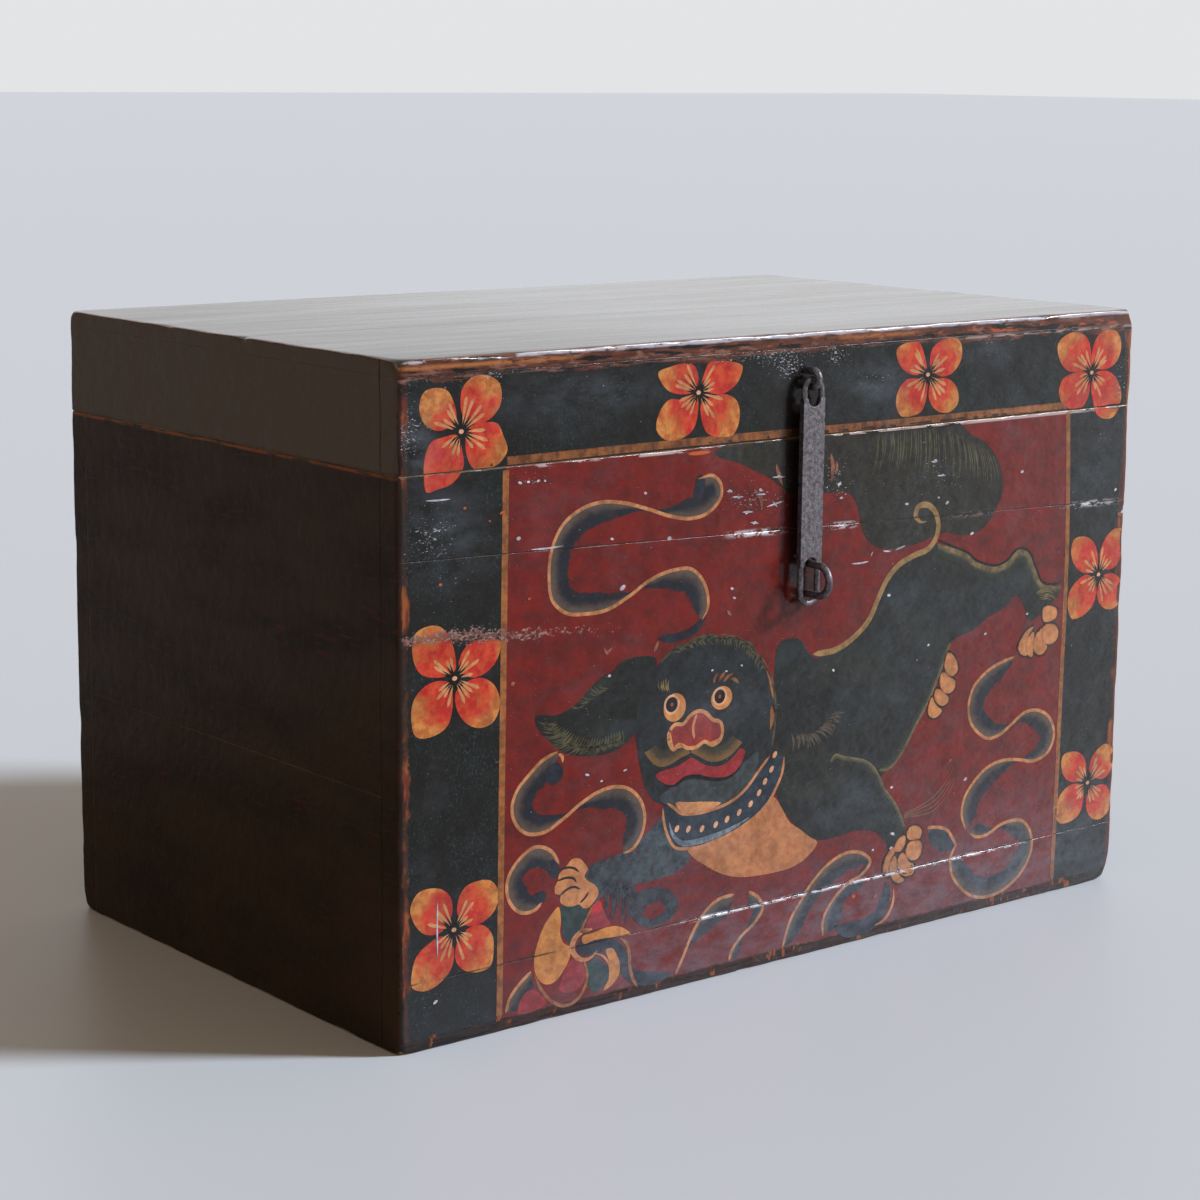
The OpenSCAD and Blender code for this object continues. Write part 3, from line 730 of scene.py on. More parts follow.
def top_lacquer():
    """Lacquer of the lid's top, rubbed along the grain, with a crack along the boards' joint."""
    s = Shader("top_lacquer")
    grain = s.noise(1.6, stretch=(60, 1, 1), detail=5.0, rough=0.6, shift=26.0)
    broad = s.noise(12, stretch=(12, 1, 1), detail=4.0, shift=27.0)
    colour = s.mix(s.rise(broad, 0.35, 0.7), "#1f1712", "#33261e")
    colour = s.cover(colour, "#4d3a2e", s.rise(grain, 0.5, 0.7), 0.5)
    crack = s.times(s.near(s.y, LID_JOINT_Y, 0.9), s.patches(0.3, 0.5, 20, stretch=(3, 1, 1), shift=28.0))
    colour = s.cover(colour, OLD_DIRT, crack)
    edge = s.least(s.minus(s.y, FRONT_Y), s.minus(HALF_W, s.size(s.x)))
    ragged = s.noise(6.0, stretch=(3, 1, 1), detail=5.0, rough=0.65, shift=29.0)
    worn = s.rise(s.minus(s.add(s.times(ragged, 10.0), -3.0), edge), -0.6, 1.2)
    colour = s.cover(colour, s.mix(s.rise(ragged, 0.5, 0.68), RAW_EDGE, OLD_DIRT), worn, 0.8)
    roughness = s.rise(s.add(s.times(grain, 0.6), s.times(broad, 0.5)), 0.35, 0.75, 0.18, 0.36)
    bump = s.relief(grain, 0.05)
    bump = s.relief(s.noise(5, stretch=(10, 1, 1), detail=3.0, shift=30.0), 0.12, bump)
    shine = s.add(s.rise(s.x, -300, 60, 0.5, 0.9), s.rise(s.y, FRONT_Y, FRONT_Y + 60, -0.1, 0.0))
    return s.finish(colour, roughness, bump, Coat_Weight=shine, Coat_Roughness=0.12, Specular_IOR_Level=0.4)


def bare_wood(name, light, dark, along=0):
    """Old unpainted softwood with its grain along one axis."""
    s = Shader(name)
    stretch = [1.0, 1.0, 1.0]
    stretch[along] = 22.0
    rings = s.noise(3.2, stretch=stretch, detail=4.0, rough=0.6, shift=31.0)
    fibre = s.noise(0.7, stretch=[k * 2 for k in stretch], detail=3.0, shift=32.0)
    stain = s.noise(60, detail=4.0, shift=33.0)
    colour = s.mix(s.rise(rings, 0.38, 0.66), light, dark)
    colour = s.cover(colour, dark, s.rise(fibre, 0.45, 0.75), 0.35)
    colour = s.cover(colour, "#3b2718", s.rise(stain, 0.5, 0.75), 0.6)
    bump = s.relief(s.add(s.times(rings, 0.7), s.times(fibre, 0.3)), 0.2)
    return s.finish(colour, s.rise(rings, 0.3, 0.7, 0.62, 0.85), bump, Specular_IOR_Level=0.3)


def wrought_iron():
    """Hammered dark iron with a purplish grey sheen, rust in the hollows and rubbed high spots."""
    s = Shader("wrought_iron_hammered")
    dents = s.noise(3.2, detail=3.0, shift=34.0)
    grit_and_glint = s.noise(0.9, detail=4.0, rough=0.65, shift=35.0)
    rust = s.times(s.patches(0.56, 0.7, 11, detail=5.0, shift=36.0), s.rise(grit_and_glint, 0.45, 0.6))
    colour = s.mix(s.rise(dents, 0.3, 0.75), "#443e40", "#70696d")
    colour = s.cover(colour, "#989096", s.rise(grit_and_glint, 0.5, 0.68), 0.6)
    colour = s.cover(colour, "#4b2a1c", rust, 0.6)
    roughness = s.rise(grit_and_glint, 0.3, 0.75, 0.36, 0.58)
    bump = s.relief(dents, 0.2, s.relief(grit_and_glint, 0.05))
    return s.finish(colour, roughness, bump, Metallic=0.8, Specular_IOR_Level=0.5)


FRONT_PAINT = front_paint()
LID_PAINT = lid_paint()
SIDE_LACQUER = side_lacquer()
TOP_LACQUER = top_lacquer()
WOOD_ALONG_X = bare_wood("bare_wood_along_x", "#8f6f4c", "#644628", 0)
WOOD_ALONG_Y = bare_wood("bare_wood_along_y", "#8a6a48", "#5f4226", 1)
DOWEL_WOOD = bare_wood("dowel_wood_plain", "#b08a5c", "#8a6538", 2)
IRON = wrought_iron()


# Carcass and lid

FRONT_PLANKS = ["front_top_plank", "front_middle_plank", "front_bottom_plank"]
BACK_PLANKS = ["back_top_plank", "back_bottom_plank"]
SIDE_PLANKS = ["left_top_plank", "left_bottom_plank", "right_top_plank", "right_bottom_plank"]
BOTTOM_BOARDS = ["bottom_front_board", "bottom_middle_board", "bottom_rear_board"]
TOP_BOARDS = ["lid_front_top_board", "lid_rear_top_board"]
LONG_RAILS = ["lid_front_rail", "lid_back_rail"]
SHORT_RAILS = ["lid_left_rail", "lid_right_rail"]


def make_boards():
    """Worn planks, boards and rails, with the finish of each side."""
    finishes = [SIDE_LACQUER, FRONT_PAINT, TOP_LACQUER]
    lid_finishes = [SIDE_LACQUER, LID_PAINT, TOP_LACQUER]
    for node in FRONT_PLANKS:
        board(node, "carcass", [WOOD_ALONG_X] + finishes, FRONT_ARRIS)
    for node in BACK_PLANKS + BOTTOM_BOARDS:
        board(node, "carcass", [WOOD_ALONG_X] + finishes)
    for node in SIDE_PLANKS:
        board(node, "carcass", [WOOD_ALONG_Y] + finishes)
    for node in TOP_BOARDS + LONG_RAILS:
        board(node, "lid", [WOOD_ALONG_X] + lid_finishes, LID_ARRIS)
    for node in SHORT_RAILS:
        board(node, "lid", [WOOD_ALONG_Y] + lid_finishes)


# Paint films on the front

FIRST_LIFT = 0.05
LIFT = 0.03
FILM = 0.3
SHARP = math.radians(40)
GRID = 5.0
GRID_FROM_RIM = 0.9
CLIP_GAP = 0.5
CLEAR_OF_SEAM = 0.3
TIP_REACH = 6.0
LEAST_SHADE = 2.0
SHADE_SMOOTH = 9.0
STRIP_STEP = 4.0
THINNING = 0.6
THINNEST = 0.06
JOINTS = (lower_joint, upper_joint)
JOINT_ROWS = (-0.5, -0.15, 0.15, 0.5, 1.5, 4.0, 9.0)


def cross_joints(line, closed):
    """Line with extra points where it meets the rows beside the plank joints."""
    found = []
    for k in range(len(line) - (not closed)):
        start, end = line[k], line[(k + 1) % len(line)]
        cuts = []
        for joint in JOINTS:
            above, beyond = start[1] - joint(start[0]), end[1] - joint(end[0])
            cuts += [(row - above) / (beyond - above) for row in JOINT_ROWS
                     if (above - row) * (beyond - row) < 0]
        found += [start] + [start + (end - start) * cut for cut in sorted(cuts)]
    return np.array(found if closed else found + [line[-1]])


def curve(points, closed=False, step=2.0):
    """Smooth line through the points, with its own points about step apart."""
    knots = np.array(points, float)
    before = np.vstack([knots[-1] if closed else 2 * knots[0] - knots[1], knots[:-1]])
    after = np.vstack([knots[1:], knots[0] if closed else 2 * knots[-1] - knots[-2]])
    back = np.linalg.norm(knots - before, axis=1)[:, None]
    ahead = np.linalg.norm(after - knots, axis=1)[:, None]
    tangent = ((knots - before) / back * ahead + (after - knots) / ahead * back) / (back + ahead)
    line = []
    for k in range(len(knots) - (not closed)):
        nxt = (k + 1) % len(knots)
        parts = max(1, round(ahead[k][0] / step))
        t = np.arange(parts)[:, None] / parts
        blend = t * t * (3 - 2 * t)
        line.append(knots[k] * (1 - blend) + knots[nxt] * blend
                    + ahead[k] * t * (1 - t) * ((1 - t) * tangent[k] - t * tangent[nxt]))
    if not closed:
        line.append(knots[-1:])
    return cross_joints(np.vstack(line), closed)


def ellipse(centre, across, high, tilt=0.0, parts=20):
    """Closed ring of an ellipse with the given breadth and height."""
    turns = np.arange(parts) * 2 * math.pi / parts
    x, z = across / 2 * np.cos(turns), high / 2 * np.sin(turns)
    c, s = math.cos(math.radians(tilt)), math.sin(math.radians(tilt))
    return np.column_stack([centre[0] + c * x - s * z, centre[1] + s * x + c * z])


def clip(ring, above):
    """Part of a ring above or below the lid's seam, less the breadth of the gap."""
    sign = 1 if above else -1
    level = SEAM_Z + sign * CLIP_GAP
    kept = []
    for start, end in zip(ring, np.roll(ring, -1, 0)):
        first, last = sign * (start[1] - level), sign * (end[1] - level)
        if first >= 0:
            kept.append(start)
        if first * last < 0:
            kept.append(start + (end - start) * first / (first - last))
    return np.array(kept)


def inside(ring, points):
    """Which of the points lie within the ring."""
    start, end = ring, np.roll(ring, -1, 0)
    x, z = points[:, :1], points[:, 1:]
    crosses = (start[:, 1] > z) != (end[:, 1] > z)
    drop = np.where(end[:, 1] == start[:, 1], 1, end[:, 1] - start[:, 1])
    at = start[:, 0] + (z - start[:, 1]) * (end[:, 0] - start[:, 0]) / drop
    return (crosses & (x < at)).sum(1) % 2 == 1


def rim_gap(ring, points):
    """Distance of each point from the ring."""
    side = np.roll(ring, -1, 0) - ring
    length = np.maximum((side * side).sum(1), 1e-9)
    share = np.clip(((points[:, None] - ring) * side).sum(2) / length, 0, 1)
    return np.linalg.norm(points[:, None] - ring - share[..., None] * side, axis=2).min(1)


def fill(ring):
    """Triangles over the inside of a ring, fine enough to follow the front's skin."""
    low, high = ring.min(0), ring.max(0)
    ahead = np.roll(ring, -1, 0)
    if (ring[:, 0] * ahead[:, 1] - ring[:, 1] * ahead[:, 0]).sum() < 0:
        ring = ring[::-1]
    xs = np.arange(low[0], high[0], GRID)
    rows = [np.full(len(xs), z) for z in np.arange(low[1] + 1, high[1], GRID)]
    rows += [joint(xs) + row for joint in JOINTS for row in JOINT_ROWS]
    extra = np.array([place for row in rows for place in zip(xs, row)])
    extra = extra[inside(ring, extra)]
    if len(extra):
        extra = extra[rim_gap(ring, extra) > GRID_FROM_RIM]
    points = [Vector(p) for p in np.vstack([ring, extra.reshape(-1, 2)])]
    found = delaunay_2d_cdt(points, [], [list(range(len(ring)))], 1, 1e-5)
    used = sorted({k for face in found[2] for k in face})
    order = {k: place for place, k in enumerate(used)}
    return np.array([tuple(found[0][k]) for k in used]), [[order[k] for k in face] for face in found[2]]


def sideways(line):
    """Unit vectors to the left of a line's direction of travel."""
    along = np.gradient(line, axis=0)
    along /= np.maximum(np.linalg.norm(along, axis=1), 1e-9)[:, None]
    return np.column_stack([-along[:, 1], along[:, 0]])


def smoothed(values, place, reach):
    """Values along a line averaged with those within about reach of each."""
    weights = np.exp(-((place[:, None] - place) / reach) ** 2)
    return (weights * values).sum(1) / weights.sum(1)


def on_front(flat, lift, body):
    """Places on the worn front, lifted off it, from their x and z."""
    points = np.column_stack([flat[:, 0], np.full(len(flat), FRONT_Y), flat[:, 1]])
    points = dish(wear_outside(points, body))
    points[:, 1] -= lift
    return points


class Coat:
    """Brushwork in one paint, at one level above the ground, that becomes a single piece."""

    def __init__(self, level, body="carcass"):
        self.level, self.body = level, body
        self.flat, self.tip, self.faces = [], [], []

    def join(self, points, faces, tip):
        """Adds points and faces, turned to face the front, and each point's tip value."""
        start = sum(len(part) for part in self.flat)
        for face in faces:
            ring = points[list(face)]
            turn = np.cross(ring[1] - ring[0], ring[-1] - ring[0])
            self.faces.append([start + k for k in (face if turn > 0 else face[::-1])])
        self.flat.append(points)
        self.tip.append(tip)

    def area(self, ring, centre=None, gain=1.0):
        """Filled ring. Its tip value grows inwards or, given a centre, to the gain farthest from that."""
        ring = clip(ring, self.body == "lid")
        if len(ring) < 3:
            return
        points, faces = fill(ring)
        if centre is None:
            tip = np.minimum(rim_gap(ring, points) / TIP_REACH, 1)
        else:
            tip = np.linalg.norm(points - np.array(centre), axis=1)
            tip = gain * tip / tip.max()
        self.join(points, faces, tip)

    def shade(self, line, breadth):
        """Areas from a line as far as breadth to its left, or right, whose tip value grows from 0 to 1."""
        breadth = np.broadcast_to(breadth, len(line))
        length = np.linalg.norm(np.diff(line, axis=0), axis=1)
        place = np.concatenate([[0], np.cumsum(length)])
        inner = line + sideways(line) * breadth[:, None]
        inner = np.column_stack([smoothed(values, place, SHADE_SMOOTH) for values in inner.T])
        twists = np.nonzero(breadth[1:] * breadth[:-1] < 0)[0] + 1
        for start, end in zip([0, *twists], [*twists, len(line)]):
            if end - start < 3:
                continue
            edge = line[start:end]
            points, faces = fill(np.vstack([edge, cross_joints(inner[start:end], False)[::-1]]))
            gap = np.linalg.norm(points[:, None] - edge, axis=2)
            reach = np.maximum(np.abs(breadth[start:end])[gap.argmin(1)], LEAST_SHADE)
            self.join(points, faces, np.minimum(gap.min(1) / reach, 1))

    def strip(self, line, left, right):
        """Band along a line from the left to the right of it, at those distances."""
        side = sideways(line)
        left, right = np.broadcast_to(left, len(line)), np.broadcast_to(right, len(line))
        columns = 2 + int(np.abs(left - right).max() / STRIP_STEP)
        shares = np.linspace(0, 1, columns)
        edges = [line + side * (left + (right - left) * share)[:, None] for share in shares]
        points = np.stack(edges, axis=1).reshape(-1, 2)
        corners = [columns * k + c for k in range(len(line) - 1) for c in range(columns - 1)]
        faces = [(k, k + 1, k + columns + 1, k + columns) for k in corners]
        self.join(points, faces, np.tile(shares, len(line)))

    def stroke(self, points, width, start=0.15, end=0.15, step=2.0):
        """Brush stroke that thins to a point over the shares start and end of its length."""
        line = curve(points, step=step)
        if self.body == "carcass":
            line = line[line[:, 1] < SEAM_Z - CLEAR_OF_SEAM]
        if len(line) < 3:
            return
        share = np.linspace(0, 1, len(line))
        swell_in = np.minimum(share / start, 1) ** THINNING if start else 1
        swell_out = np.minimum((1 - share) / end, 1) ** THINNING if end else 1
        half = width / 2 * np.maximum(swell_in * swell_out, THINNEST)
        self.strip(line, half, -half)

    def ring(self, points, width):
        """Closed line of even width."""
        line = curve(points, closed=True)
        line = np.vstack([line, line[:2]])
        self.strip(line, width / 2, -width / 2)

    def comb(self, roots, tips, count, width, seed, bend=0.12):
        """Hair strokes from places along one line to places along another."""
        pick = random.Random(seed)
        start, end = curve(roots), curve(tips)
        for k in range(count):
            share = (k + pick.uniform(0.1, 0.9)) / count
            root = start[round(share * (len(start) - 1))]
            reach = (end[round(share * (len(end) - 1))] - root) * pick.uniform(0.7, 1.08)
            middle = root + reach * 0.5 + np.array([-reach[1], reach[0]]) * bend * pick.uniform(0.5, 1.5)
            self.stroke([root, middle, root + reach], width * pick.uniform(0.7, 1.2), 0.3, 0.6, step=3.0)

    def build(self, name, paint):
        """Makes the piece: a thin closed film that lies on the worn front."""
        points = on_front(np.vstack(self.flat), FIRST_LIFT + self.level * LIFT, self.body)
        points, faces = thicken(points, self.faces, FILM)
        values = {"tip": np.tile(np.concatenate(self.tip), 2), **marks(points)}
        piece = add_mesh(name, points, faces, [PAINTS[paint]], self.body, values)
        piece.data.set_sharp_from_angle(angle=SHARP)


def paint_areas(name, level, paint, outlines):
    """Piece of filled outlines in one paint."""
    coat = Coat(level)
    for outline in outlines:
        coat.area(curve(outline, closed=True))
    coat.build(name, paint)


def paint_strokes(name, level, paint, strokes, body="carcass"):
    """Piece of brush strokes in one paint: points and width of each, and shares where it thins."""
    coat = Coat(level, body)
    for stroke in strokes:
        coat.stroke(*stroke)
    coat.build(name, paint)


def paint_shades(name, level, paint, shades):
    """Piece of areas that fade out to one side of a line, from the line and the breadth of each."""
    coat = Coat(level)
    for points, breadth in shades:
        coat.shade(curve(points), breadth)
    coat.build(name, paint)


def figure_paint(name, light, dark, ground, wear):
    """Brushed paint with its ground showing through where it is thin."""
    s = Shader(name)
    brush = s.noise(2.6, stretch=(1.6, 1, 1.6), detail=4.0, shift=42.0)
    return painted(s, s.mix(s.rise(brush, 0.36, 0.66), light, dark), ground, wear)


def painted(s, colour, ground, wear):
    """Figure colour worn down to its ground, aged and lacquered."""
    thin = s.patches(0.52, 0.68, 4.5, stretch=(1.4, 1, 1), detail=6.0, rough=0.7, shift=44.0)
    grit_and_glint = pimples(s)
    colour = aged(s, s.mix(s.times(thin, wear), colour, ground), grit_and_glint)
    return lacquer(s, scrape(s, joint_marks(s, colour)), grit_and_glint)


def petal_paint():
    """Orange red petals, mottled, that pass into ochre towards their tips."""
    s = Shader("petal")
    mottle = s.noise(5.5, detail=5.0, rough=0.6, shift=50.0)
    colour = s.mix(s.rise(mottle, 0.4, 0.62), "#b3281f", "#bd4526")
    ragged = s.add(s.value("tip"), s.times(s.noise(9, detail=4.0, shift=43.0), 0.9), -0.45)
    tips = s.mix(s.rise(mottle, 0.42, 0.6), "#c47f40", "#a8602e")
    colour = s.cover(colour, tips, s.rise(ragged, 0.64, 1.05))
    return painted(s, colour, BLACK_GREEN, 0.25)


def body_paint():
    """Nearly black coat of the lion, with broad soft streaks of blue grey and olive."""
    s = Shader("lion_black")
    brush = s.noise(2.6, stretch=(1.6, 1, 1.6), detail=4.0, shift=42.0)
    colour = s.mix(s.rise(brush, 0.36, 0.66), "#1d1f1c", "#171614")
    blue = s.patches(0.48, 0.66, 22, stretch=(3, 1, 1), detail=4.0, shift=55.0)
    olive = s.patches(0.5, 0.68, 26, stretch=(2, 1, 1), detail=4.0, shift=56.0)
    colour = s.cover(colour, "#2b3234", blue, 0.6)
    return painted(s, s.mix(s.times(olive, 0.5), colour, "#2e3022"), RED_DEEP, 0.06)


def fading_paint(name, near, far, ground, middle, lost=0.72):
    """Paint that is light along a line, dark a little away from it, and lost in the ground beyond."""
    s = Shader(name)
    waver = s.times(s.noise(3.5, stretch=(1.4, 1, 1), detail=4.0, shift=52.0), 0.36)
    ragged = s.add(s.value("tip"), waver, -0.18)
    colour = s.mix(s.rise(ragged, 0.12, middle), near, far)
    return painted(s, s.mix(s.rise(ragged, lost, 1.0), colour, ground), ground, 0.2)


# Light and dark colour of each figure paint, its ground, and how much of that shows where it is thin
FIGURE_PAINTS = {
    "ochre_line": ("#995f33", "#784929", RED_DEEP, 0.35),
    "band_ochre": ("#8a532c", "#5c351e", BLACK_WARM, 0.35),
    "ochre_pale": ("#c58a5c", "#b0744a", RED_DEEP, 0.2),
    "ribbon_line": ("#bf8156", "#9c6440", RED_DEEP, 0.25),
    "ochre_hair": ("#7a6744", "#5a4b31", BLACK_WARM, 0.35),
    "dull_hair": ("#574a3f", "#3f3830", BLACK_WARM, 0.35),
    "faint_hair": ("#76503f", "#643829", RED_DEEP, 0.5),
    "olive_hair": ("#565039", "#413d2c", BLACK_WARM, 0.35),
    "tail_olive": ("#2a271d", "#1d1b17", RED_DEEP, 0.06),
    "leg_grey": ("#3d474c", "#252c2f", RED_DEEP, 0.3),
    "curl_grey": ("#363e45", "#24272d", RED_DEEP, 0.55),
    "ball_grey": ("#2f3e3b", "#232f2f", RED_DEEP, 0.1),
    "ball_gold": ("#c4813f", "#ad6a34", RED_DEEP, 0.2),
    "ball_pink": ("#8e3238", "#7c2a30", RED_DEEP, 0.35),
    "hook_dark": ("#232933", "#191c22", RED_DEEP, 0.15),
    "spine_olive": ("#97764a", "#7d5f3b", RED_DEEP, 0.2),
    "face_low": ("#3a4146", "#2f3230", RED_DEEP, 0.05),
    "face_grey": ("#23272a", "#1b1c1b", RED_DEEP, 0.04),
    "collar_blue": ("#2e3743", "#20262e", BLACK_WARM, 0.35),
    "collar_pale": ("#7a848f", "#555d66", BLACK_WARM, 0.35),
    "bib_ochre": ("#b5764b", "#a2633c", RED_DEEP, 0.15),
    "flesh": ("#c08050", "#a96a3f", RED_DEEP, 0.15),
    "eye_ochre": ("#c8854c", "#b3713f", BLACK_WARM, 0.1),
    "nose_red": ("#8e322c", "#7d2a28", RED_DEEP, 0.2),
    "lip_red": ("#932a2d", "#7f2226", RED_DEEP, 0.1),
    "vivid_pink": ("#b03238", "#9a282e", RED_DEEP, 0.1),
    "pupil_black": ("#12100f", "#0d0c0c", BLACK_WARM, 0.35),
    "field_red": (RED_DEEP, RED_DULL, RED_DEEP, 0.35),
    "core_red": ("#952a2d", "#7c2124", RED_DEEP, 0.35),
    "toe_line": ("#2c1a15", "#1f1512", BLACK_WARM, 0.35),
    "dot_pale": ("#d9a27e", "#c8906c", BLACK_WARM, 0.1),
    # Pale paint of the painted glints
    "speck_glint": ("#c4c2cc", "#9d98a2", PALE_SCUFF, 0.3),
    "scuff": ("#8a5c4b", "#6c3b2d", RED_DEEP, 0.7),
    "chip_orange": ("#b8542a", "#8f3d22", RED_DEEP, 0.3),
}
PAINTS = {name: figure_paint(name, *looks) for name, looks in FIGURE_PAINTS.items()}
PAINTS["ribbon"] = fading_paint("ribbon", "#54473f", "#1d2027", RED_DEEP, 0.58, lost=0.9)
PAINTS["lion_glow"] = fading_paint("lion_glow", "#55503a", "#26281f", "#1b1b18", 0.5)
PAINTS["muzzle"] = fading_paint("muzzle", "#6e5032", "#3a3529", "#20221f", 0.6)
PAINTS["lion_black"] = body_paint()
PAINTS["petal"] = petal_paint()


# Borders and flowers

LEFT_LINE = [(-229, 333), (-230.6, 200), (-232.5, 7)]
RIGHT_LINE = [(242, 333.5), (244.5, 290), (246, 255), (246, 150), (244.5, 9)]
LID_BAND = [(-228, 338.3), (-60, 338.6), (80, 338.0), (240, 338.4)]
LID_BAND_BRIGHT = [(166, 339), (190, 338.4), (240, 338.6)]
FLOWERS = {
    "flower_lid_left": ((-260.4, 357.4), [
        [(-264, 364), (-266, 375), (-270, 381), (-278, 383), (-286, 381), (-289, 374), (-286, 364),
         (-277, 359)],
        [(-258, 364), (-261, 374), (-260, 381), (-254, 387), (-243, 388), (-234, 383), (-233, 371),
         (-239, 364), (-250, 361)],
        [(-255, 359), (-243, 361.5), (-235, 360), (-231, 353), (-228, 344.6), (-233, 338), (-242, 335),
         (-252, 336), (-257, 345)],
        [(-262, 355), (-273, 355), (-281, 353), (-285.5, 344), (-286, 334), (-284, 325), (-277, 326),
         (-266, 329), (-259, 337), (-260, 348)]]),
    "flower_lid_middle": ((-85.7, 368), [
        [(-88, 370), (-101, 368), (-110, 371), (-117, 382), (-108, 384.6), (-97, 386), (-89, 384),
         (-86, 377)],
        [(-83, 371), (-81, 380), (-78, 385), (-70, 386), (-58, 384.6), (-51, 382), (-54, 373), (-63, 367),
         (-76, 367)],
        [(-87, 366), (-98, 364.6), (-109, 365), (-116, 358), (-118, 348), (-113, 342.5), (-98, 341.5),
         (-89, 346.6), (-86, 356)],
        [(-83, 362), (-76, 364.6), (-64, 365.6), (-55, 361), (-52.4, 351), (-57, 341), (-68, 340), (-78, 343),
         (-83, 352)]]),
    "flower_lid_right": ((107.7, 367), [
        [(106, 370), (104, 379.5), (99, 387.7), (91, 388.7), (79, 384), (82, 375), (90, 369), (100, 367.5)],
        [(109.5, 372), (112, 384.6), (119, 388), (128, 389.7), (136, 386.7), (138, 376), (132, 368),
         (121, 365)],
        [(106, 364), (99, 365), (88, 364.6), (82, 359), (79.7, 350), (84, 342.5), (95, 341.5), (103, 344),
         (107, 353)],
        [(110, 361), (119, 364), (128, 362.5), (135, 356), (136, 347), (130, 342), (121, 341.8), (113, 346),
         (109, 353)]]),
    "flower_lid_end": ((263.8, 359), [
        [(262.4, 362), (262, 374), (258, 382.5), (250, 386.5), (238, 386), (229, 379.5), (231, 370),
         (239, 362), (252, 360.5)],
        [(264.5, 364), (264, 376), (268, 383), (278, 387), (288, 385), (292.7, 375), (288.6, 365),
         (278, 360.5)],
        [(259, 358.5), (245, 359.5), (235, 356), (232, 348), (235, 341), (243, 336), (255, 335.5), (261, 342),
         (262.4, 351)],
        [(266, 357), (280, 359), (290, 352.5), (295, 342), (292.7, 333), (288, 327.6), (279, 326.6),
         (271, 330), (266, 341), (264, 348)]]),
    "flower_left_upper": ((-265, 217), [
        [(-264.5, 222), (-264.5, 230), (-268, 240), (-275, 248), (-285, 249), (-292, 246), (-294, 234),
         (-289, 223), (-278, 219)],
        [(-262, 222), (-260, 231), (-253, 236.6), (-242, 237), (-232.5, 234.5), (-234, 226), (-241, 218.5),
         (-253, 216)],
        [(-269, 215), (-285, 215.3), (-293, 208.5), (-295, 197), (-292, 187), (-279, 185.6), (-270, 190),
         (-266.5, 200)],
        [(-264, 209), (-256.8, 213.8), (-245.5, 214.8), (-237, 209.5), (-232.8, 198), (-238, 187.5),
         (-247, 185.6), (-257, 190), (-263, 198)]]),
    "flower_left_lower": ((-265.5, 68.9), [
        [(-266.5, 80), (-267.5, 88), (-273, 94), (-281, 96.4), (-291, 95), (-296, 87), (-293, 77), (-286, 70),
         (-275, 69)],
        [(-263, 78), (-262.4, 86), (-258, 92.5), (-249, 95), (-238.5, 93.3), (-233.2, 85), (-236, 75.5),
         (-244, 70), (-256, 69.5)],
        [(-269, 64), (-274, 66.6), (-283, 64), (-292, 57.5), (-295, 49), (-295, 40), (-286.5, 36.1),
         (-276, 38.5), (-267, 46.6), (-265.2, 55)],
        [(-263.5, 60), (-264, 50), (-258, 43), (-248, 40), (-239, 42), (-236.8, 51), (-238, 61), (-245, 68),
         (-256, 67.5)]]),
    "flower_right_upper": ((279.4, 219.4), [
        [(277.5, 224), (277.5, 234), (272, 243.5), (262, 247.5), (253, 246), (250.6, 238), (254.7, 228.2),
         (263, 222.5), (272, 221.5)],
        [(280.5, 228), (280.8, 237), (285, 244), (294, 249.5), (302, 249), (302.5, 232), (297, 223.5),
         (286, 222.5)],
        [(274, 217), (268, 220.5), (259, 218), (250.5, 210), (249.6, 199), (254, 191.5), (265, 192.3),
         (275, 199), (278.3, 209)],
        [(279.4, 211), (279.4, 203), (285, 196), (295, 193.6), (302.5, 197), (302.5, 213), (294, 218.7),
         (283, 217)]]),
    "flower_right_lower": ((277.3, 72.8), [
        [(274.5, 78), (275, 86), (270, 94), (261, 97.4), (250.5, 95.5), (250, 86), (256, 78), (266, 75.2)],
        [(279, 80), (279.5, 88.5), (285, 94.5), (295, 98), (302.5, 93), (302, 80), (295, 73.5), (285, 75.3)],
        [(273, 70), (266, 73.8), (257, 73), (247, 65), (245, 56), (249, 48.8), (261, 47.6), (270, 51.5),
         (273.7, 62)],
        [(277.3, 63), (277, 55), (283, 46.5), (292, 44.3), (301, 49.5), (302.4, 59), (296, 68.2),
         (283, 68)]]),
}


def spiky_ring(centre, radius, spikes):
    """Ring with pointed teeth all round, of uneven length."""
    turns = np.arange(2 * spikes) * math.pi / spikes
    reach = np.where(np.arange(2 * spikes) % 2, radius * 0.55, radius * (1 + 0.25 * np.sin(turns * 3)))
    return np.column_stack([centre[0] + reach * np.cos(turns), centre[1] + reach * np.sin(turns)])


# How far the ochre reaches into the petals of each flower
PETAL_OCHRE = {
    "flower_lid_left": (1.5, 1.1, 1.2, 0.75), "flower_lid_middle": (1.15, 0.95, 1.2, 1.2),
    "flower_lid_right": (1.0, 1.1, 1.1, 1.15), "flower_lid_end": (1.1, 1.15, 0.8, 1.0),
    "flower_left_upper": (1.1, 0.85, 1.15, 1.1), "flower_left_lower": (1.15, 1.1, 1.2, 1.1),
    "flower_right_upper": (1.05, 1.05, 1.1, 1.05), "flower_right_lower": (1.1, 1.15, 1.4, 1.1),
}


STAMENS = 4
STAMEN_TURN = 0.27
STAMEN_WANDER = 0.08
STAMEN_WIDTH = 2.1
HEART_TURN = 0.13
HEART_WIDTH = 1.3
HEART_RADIUS = 5.2
HEART_SPIKES = 9


